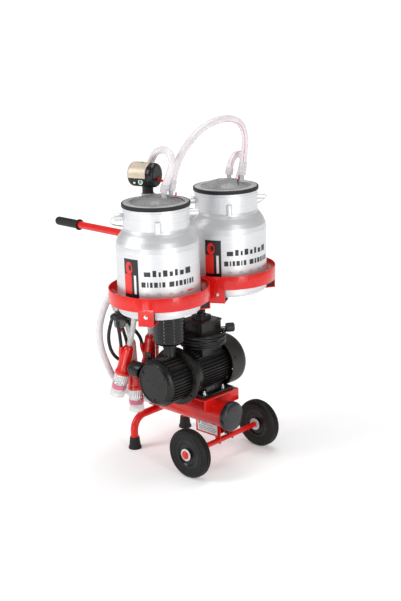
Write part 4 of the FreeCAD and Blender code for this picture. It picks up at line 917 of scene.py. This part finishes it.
def make_cup(index):
    """Teat cup: red shell with its tube ports, ribbed steel sleeve, pink band, clear mouth."""
    top, mouth = (Vector(end) for end in CUPS[index])
    along = (mouth - top).normalized()
    shell = lathe("cup_shell_%d" % index, SHELL, top, along, CUP_RED, "cart", steps=64,
                  closed=False)
    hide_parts("teat_cup_shells")
    lathe("cup_ring_%d" % index, [(22.6, 30), (24.2, 32), (22.9, 34)], top, along, CUP_RED,
          "cart", steps=64, closed=False)
    lathe("cup_port_%d" % index, soften([(8, -5), (13.6, -5), (14.6, 3), (8, 3)], 1.2), top,
          along, CUP_RED, "cart", steps=40)
    end = Vector(PULSE_TUBE_ROUTES[index][-1])
    foot = top + along * (end - top).dot(along)
    outward = (end - foot).normalized()
    base = foot + outward * 19.5
    spur = spline_points([tuple(end - along * 4), tuple(end + along * 16),
                          tuple(base + along * 44), tuple(base + along * 60)])
    tube("cup_spur_%d" % index, spur, lambda v: 9.2 - 2.6 * v, CUP_RED, "cart", sides=28)
    sleeve = [(27, 121.7), (29.2, 121.9), (29.3, 124), (28.9, 126), (28.9, 143), (28.9, 160),
              (29.3, 162), (29.2, 164), (27, 164)]
    ferrule = lathe("cup_sleeve_%d" % index, sleeve, top, along, STEEL, "cart", steps=224,
                    wave=ferrule_ribs, sharp=60)
    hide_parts("teat_cup_ferrules")
    lathe("cup_band_%d" % index, BAND, top, along, PINK, "cart", steps=64)
    liner = lathe("cup_mouth_%d" % index, MOUTHPIECE, top, along, MOUTH, "cart", steps=64)
    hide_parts("teat_cup_liners")


def polar(radius, angle):
    """Place round the claw's middle, seen from above."""
    turn = math.radians(angle)
    return CLAW[0] + radius * math.cos(turn), CLAW[1] + radius * math.sin(turn)


def small_tube(name, route, radius, surface, sides, node):
    """Short rubber tube of the cluster."""
    line = spline_points(route)
    piece = tube(name, line, radius, surface, "cart", sides=sides)
    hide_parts(node)
    tuple(Vector(route[0]) * MM)


def make_cluster_tubes():
    """Short milk tubes that bend over the claw, and the black pulse tubes."""
    for index, (angle, route) in enumerate(zip(NIPPLE_ANGLES, MILK_TUBE_ROUTES)):
        rise = CLAW[2] + 22
        start, out = polar(30, angle), polar(72, angle)
        points = ((*start, rise), (*start, rise + 24), (*out, rise + 24), (*out, rise - 7))
        small_tube("milk_tube_%d" % index, points + route, 11, MILK_TUBE, 24,
                   "short_milk_tubes")
    for index, route in enumerate(PULSE_TUBE_ROUTES):
        small_tube("pulse_tube_%d" % index, route, 7, CABLE, 20, "pulse_tubes")


# ---- put it together ----

def dress_cad_nodes():
    """Materials of the CAD nodes that stay visible."""
    dress(["vacuum_tank", "leg_frame", "column", "axle"], RED_PAINT)
    dress(["axle_bracket", "motor_plate", "hoop_near", "hoop_far"], RED_PAINT, bevel=0.8)
    dress(["foot_tips", "drain_valve", "hoop_pads", "gasket_near", "gasket_far"], BLACK_RUBBER)
    dress(["can_near", "can_far"], ALUMINIUM)
    dress(["bail_near", "bail_far", "frame_bolts", "cluster_hook"], ZINC)
    dress(["tyre_near", "tyre_far"], TYRE)
    dress(["wheel_rim_near", "wheel_rim_far"], RIM)
    dress(["motor_housing", "end_bell", "pump_housing", "pump_cover", "exhaust_silencer"], MOTOR,
          bevel=0.5)
    dress(["fan_cover"], COWL)
    dress(["cooling_fan", "pump_vanes"], RIM)
    dress(["stator", "bearings", "rotor_shaft", "rotor_core", "pump_rotor"], ZINC)
    dress(["terminal_box", "terminal_box_lid"], BOX_PLASTIC, bevel=1.2)
    dress(["switch_knob", "regulator_knob"], BOX_PLASTIC, bevel=1.0)
    dress(["power_plug", "claw_body"], CABLE)
    dress(["claw_bowl"], SMOKED)
    dress(["claw_shut_off"], CUP_RED)


def main():
    make_camera()
    make_studio()
    dress_cad_nodes()
    make_hoses()
    make_power_cable()
    make_cluster_tubes()
    for side, sign in SIDES:
        make_can_details(side, sign)
        make_lid(side, sign)
        make_wheel_details(side, sign)
    make_lid_fittings()
    make_pulsator()
    make_canister()
    make_pump_details()
    make_motor_details()
    make_box_details()
    make_grip()
    make_plate_label()
    make_earth_wire()
    make_end_cap()
    for index in range(len(CUPS)):
        make_cup(index)


main()
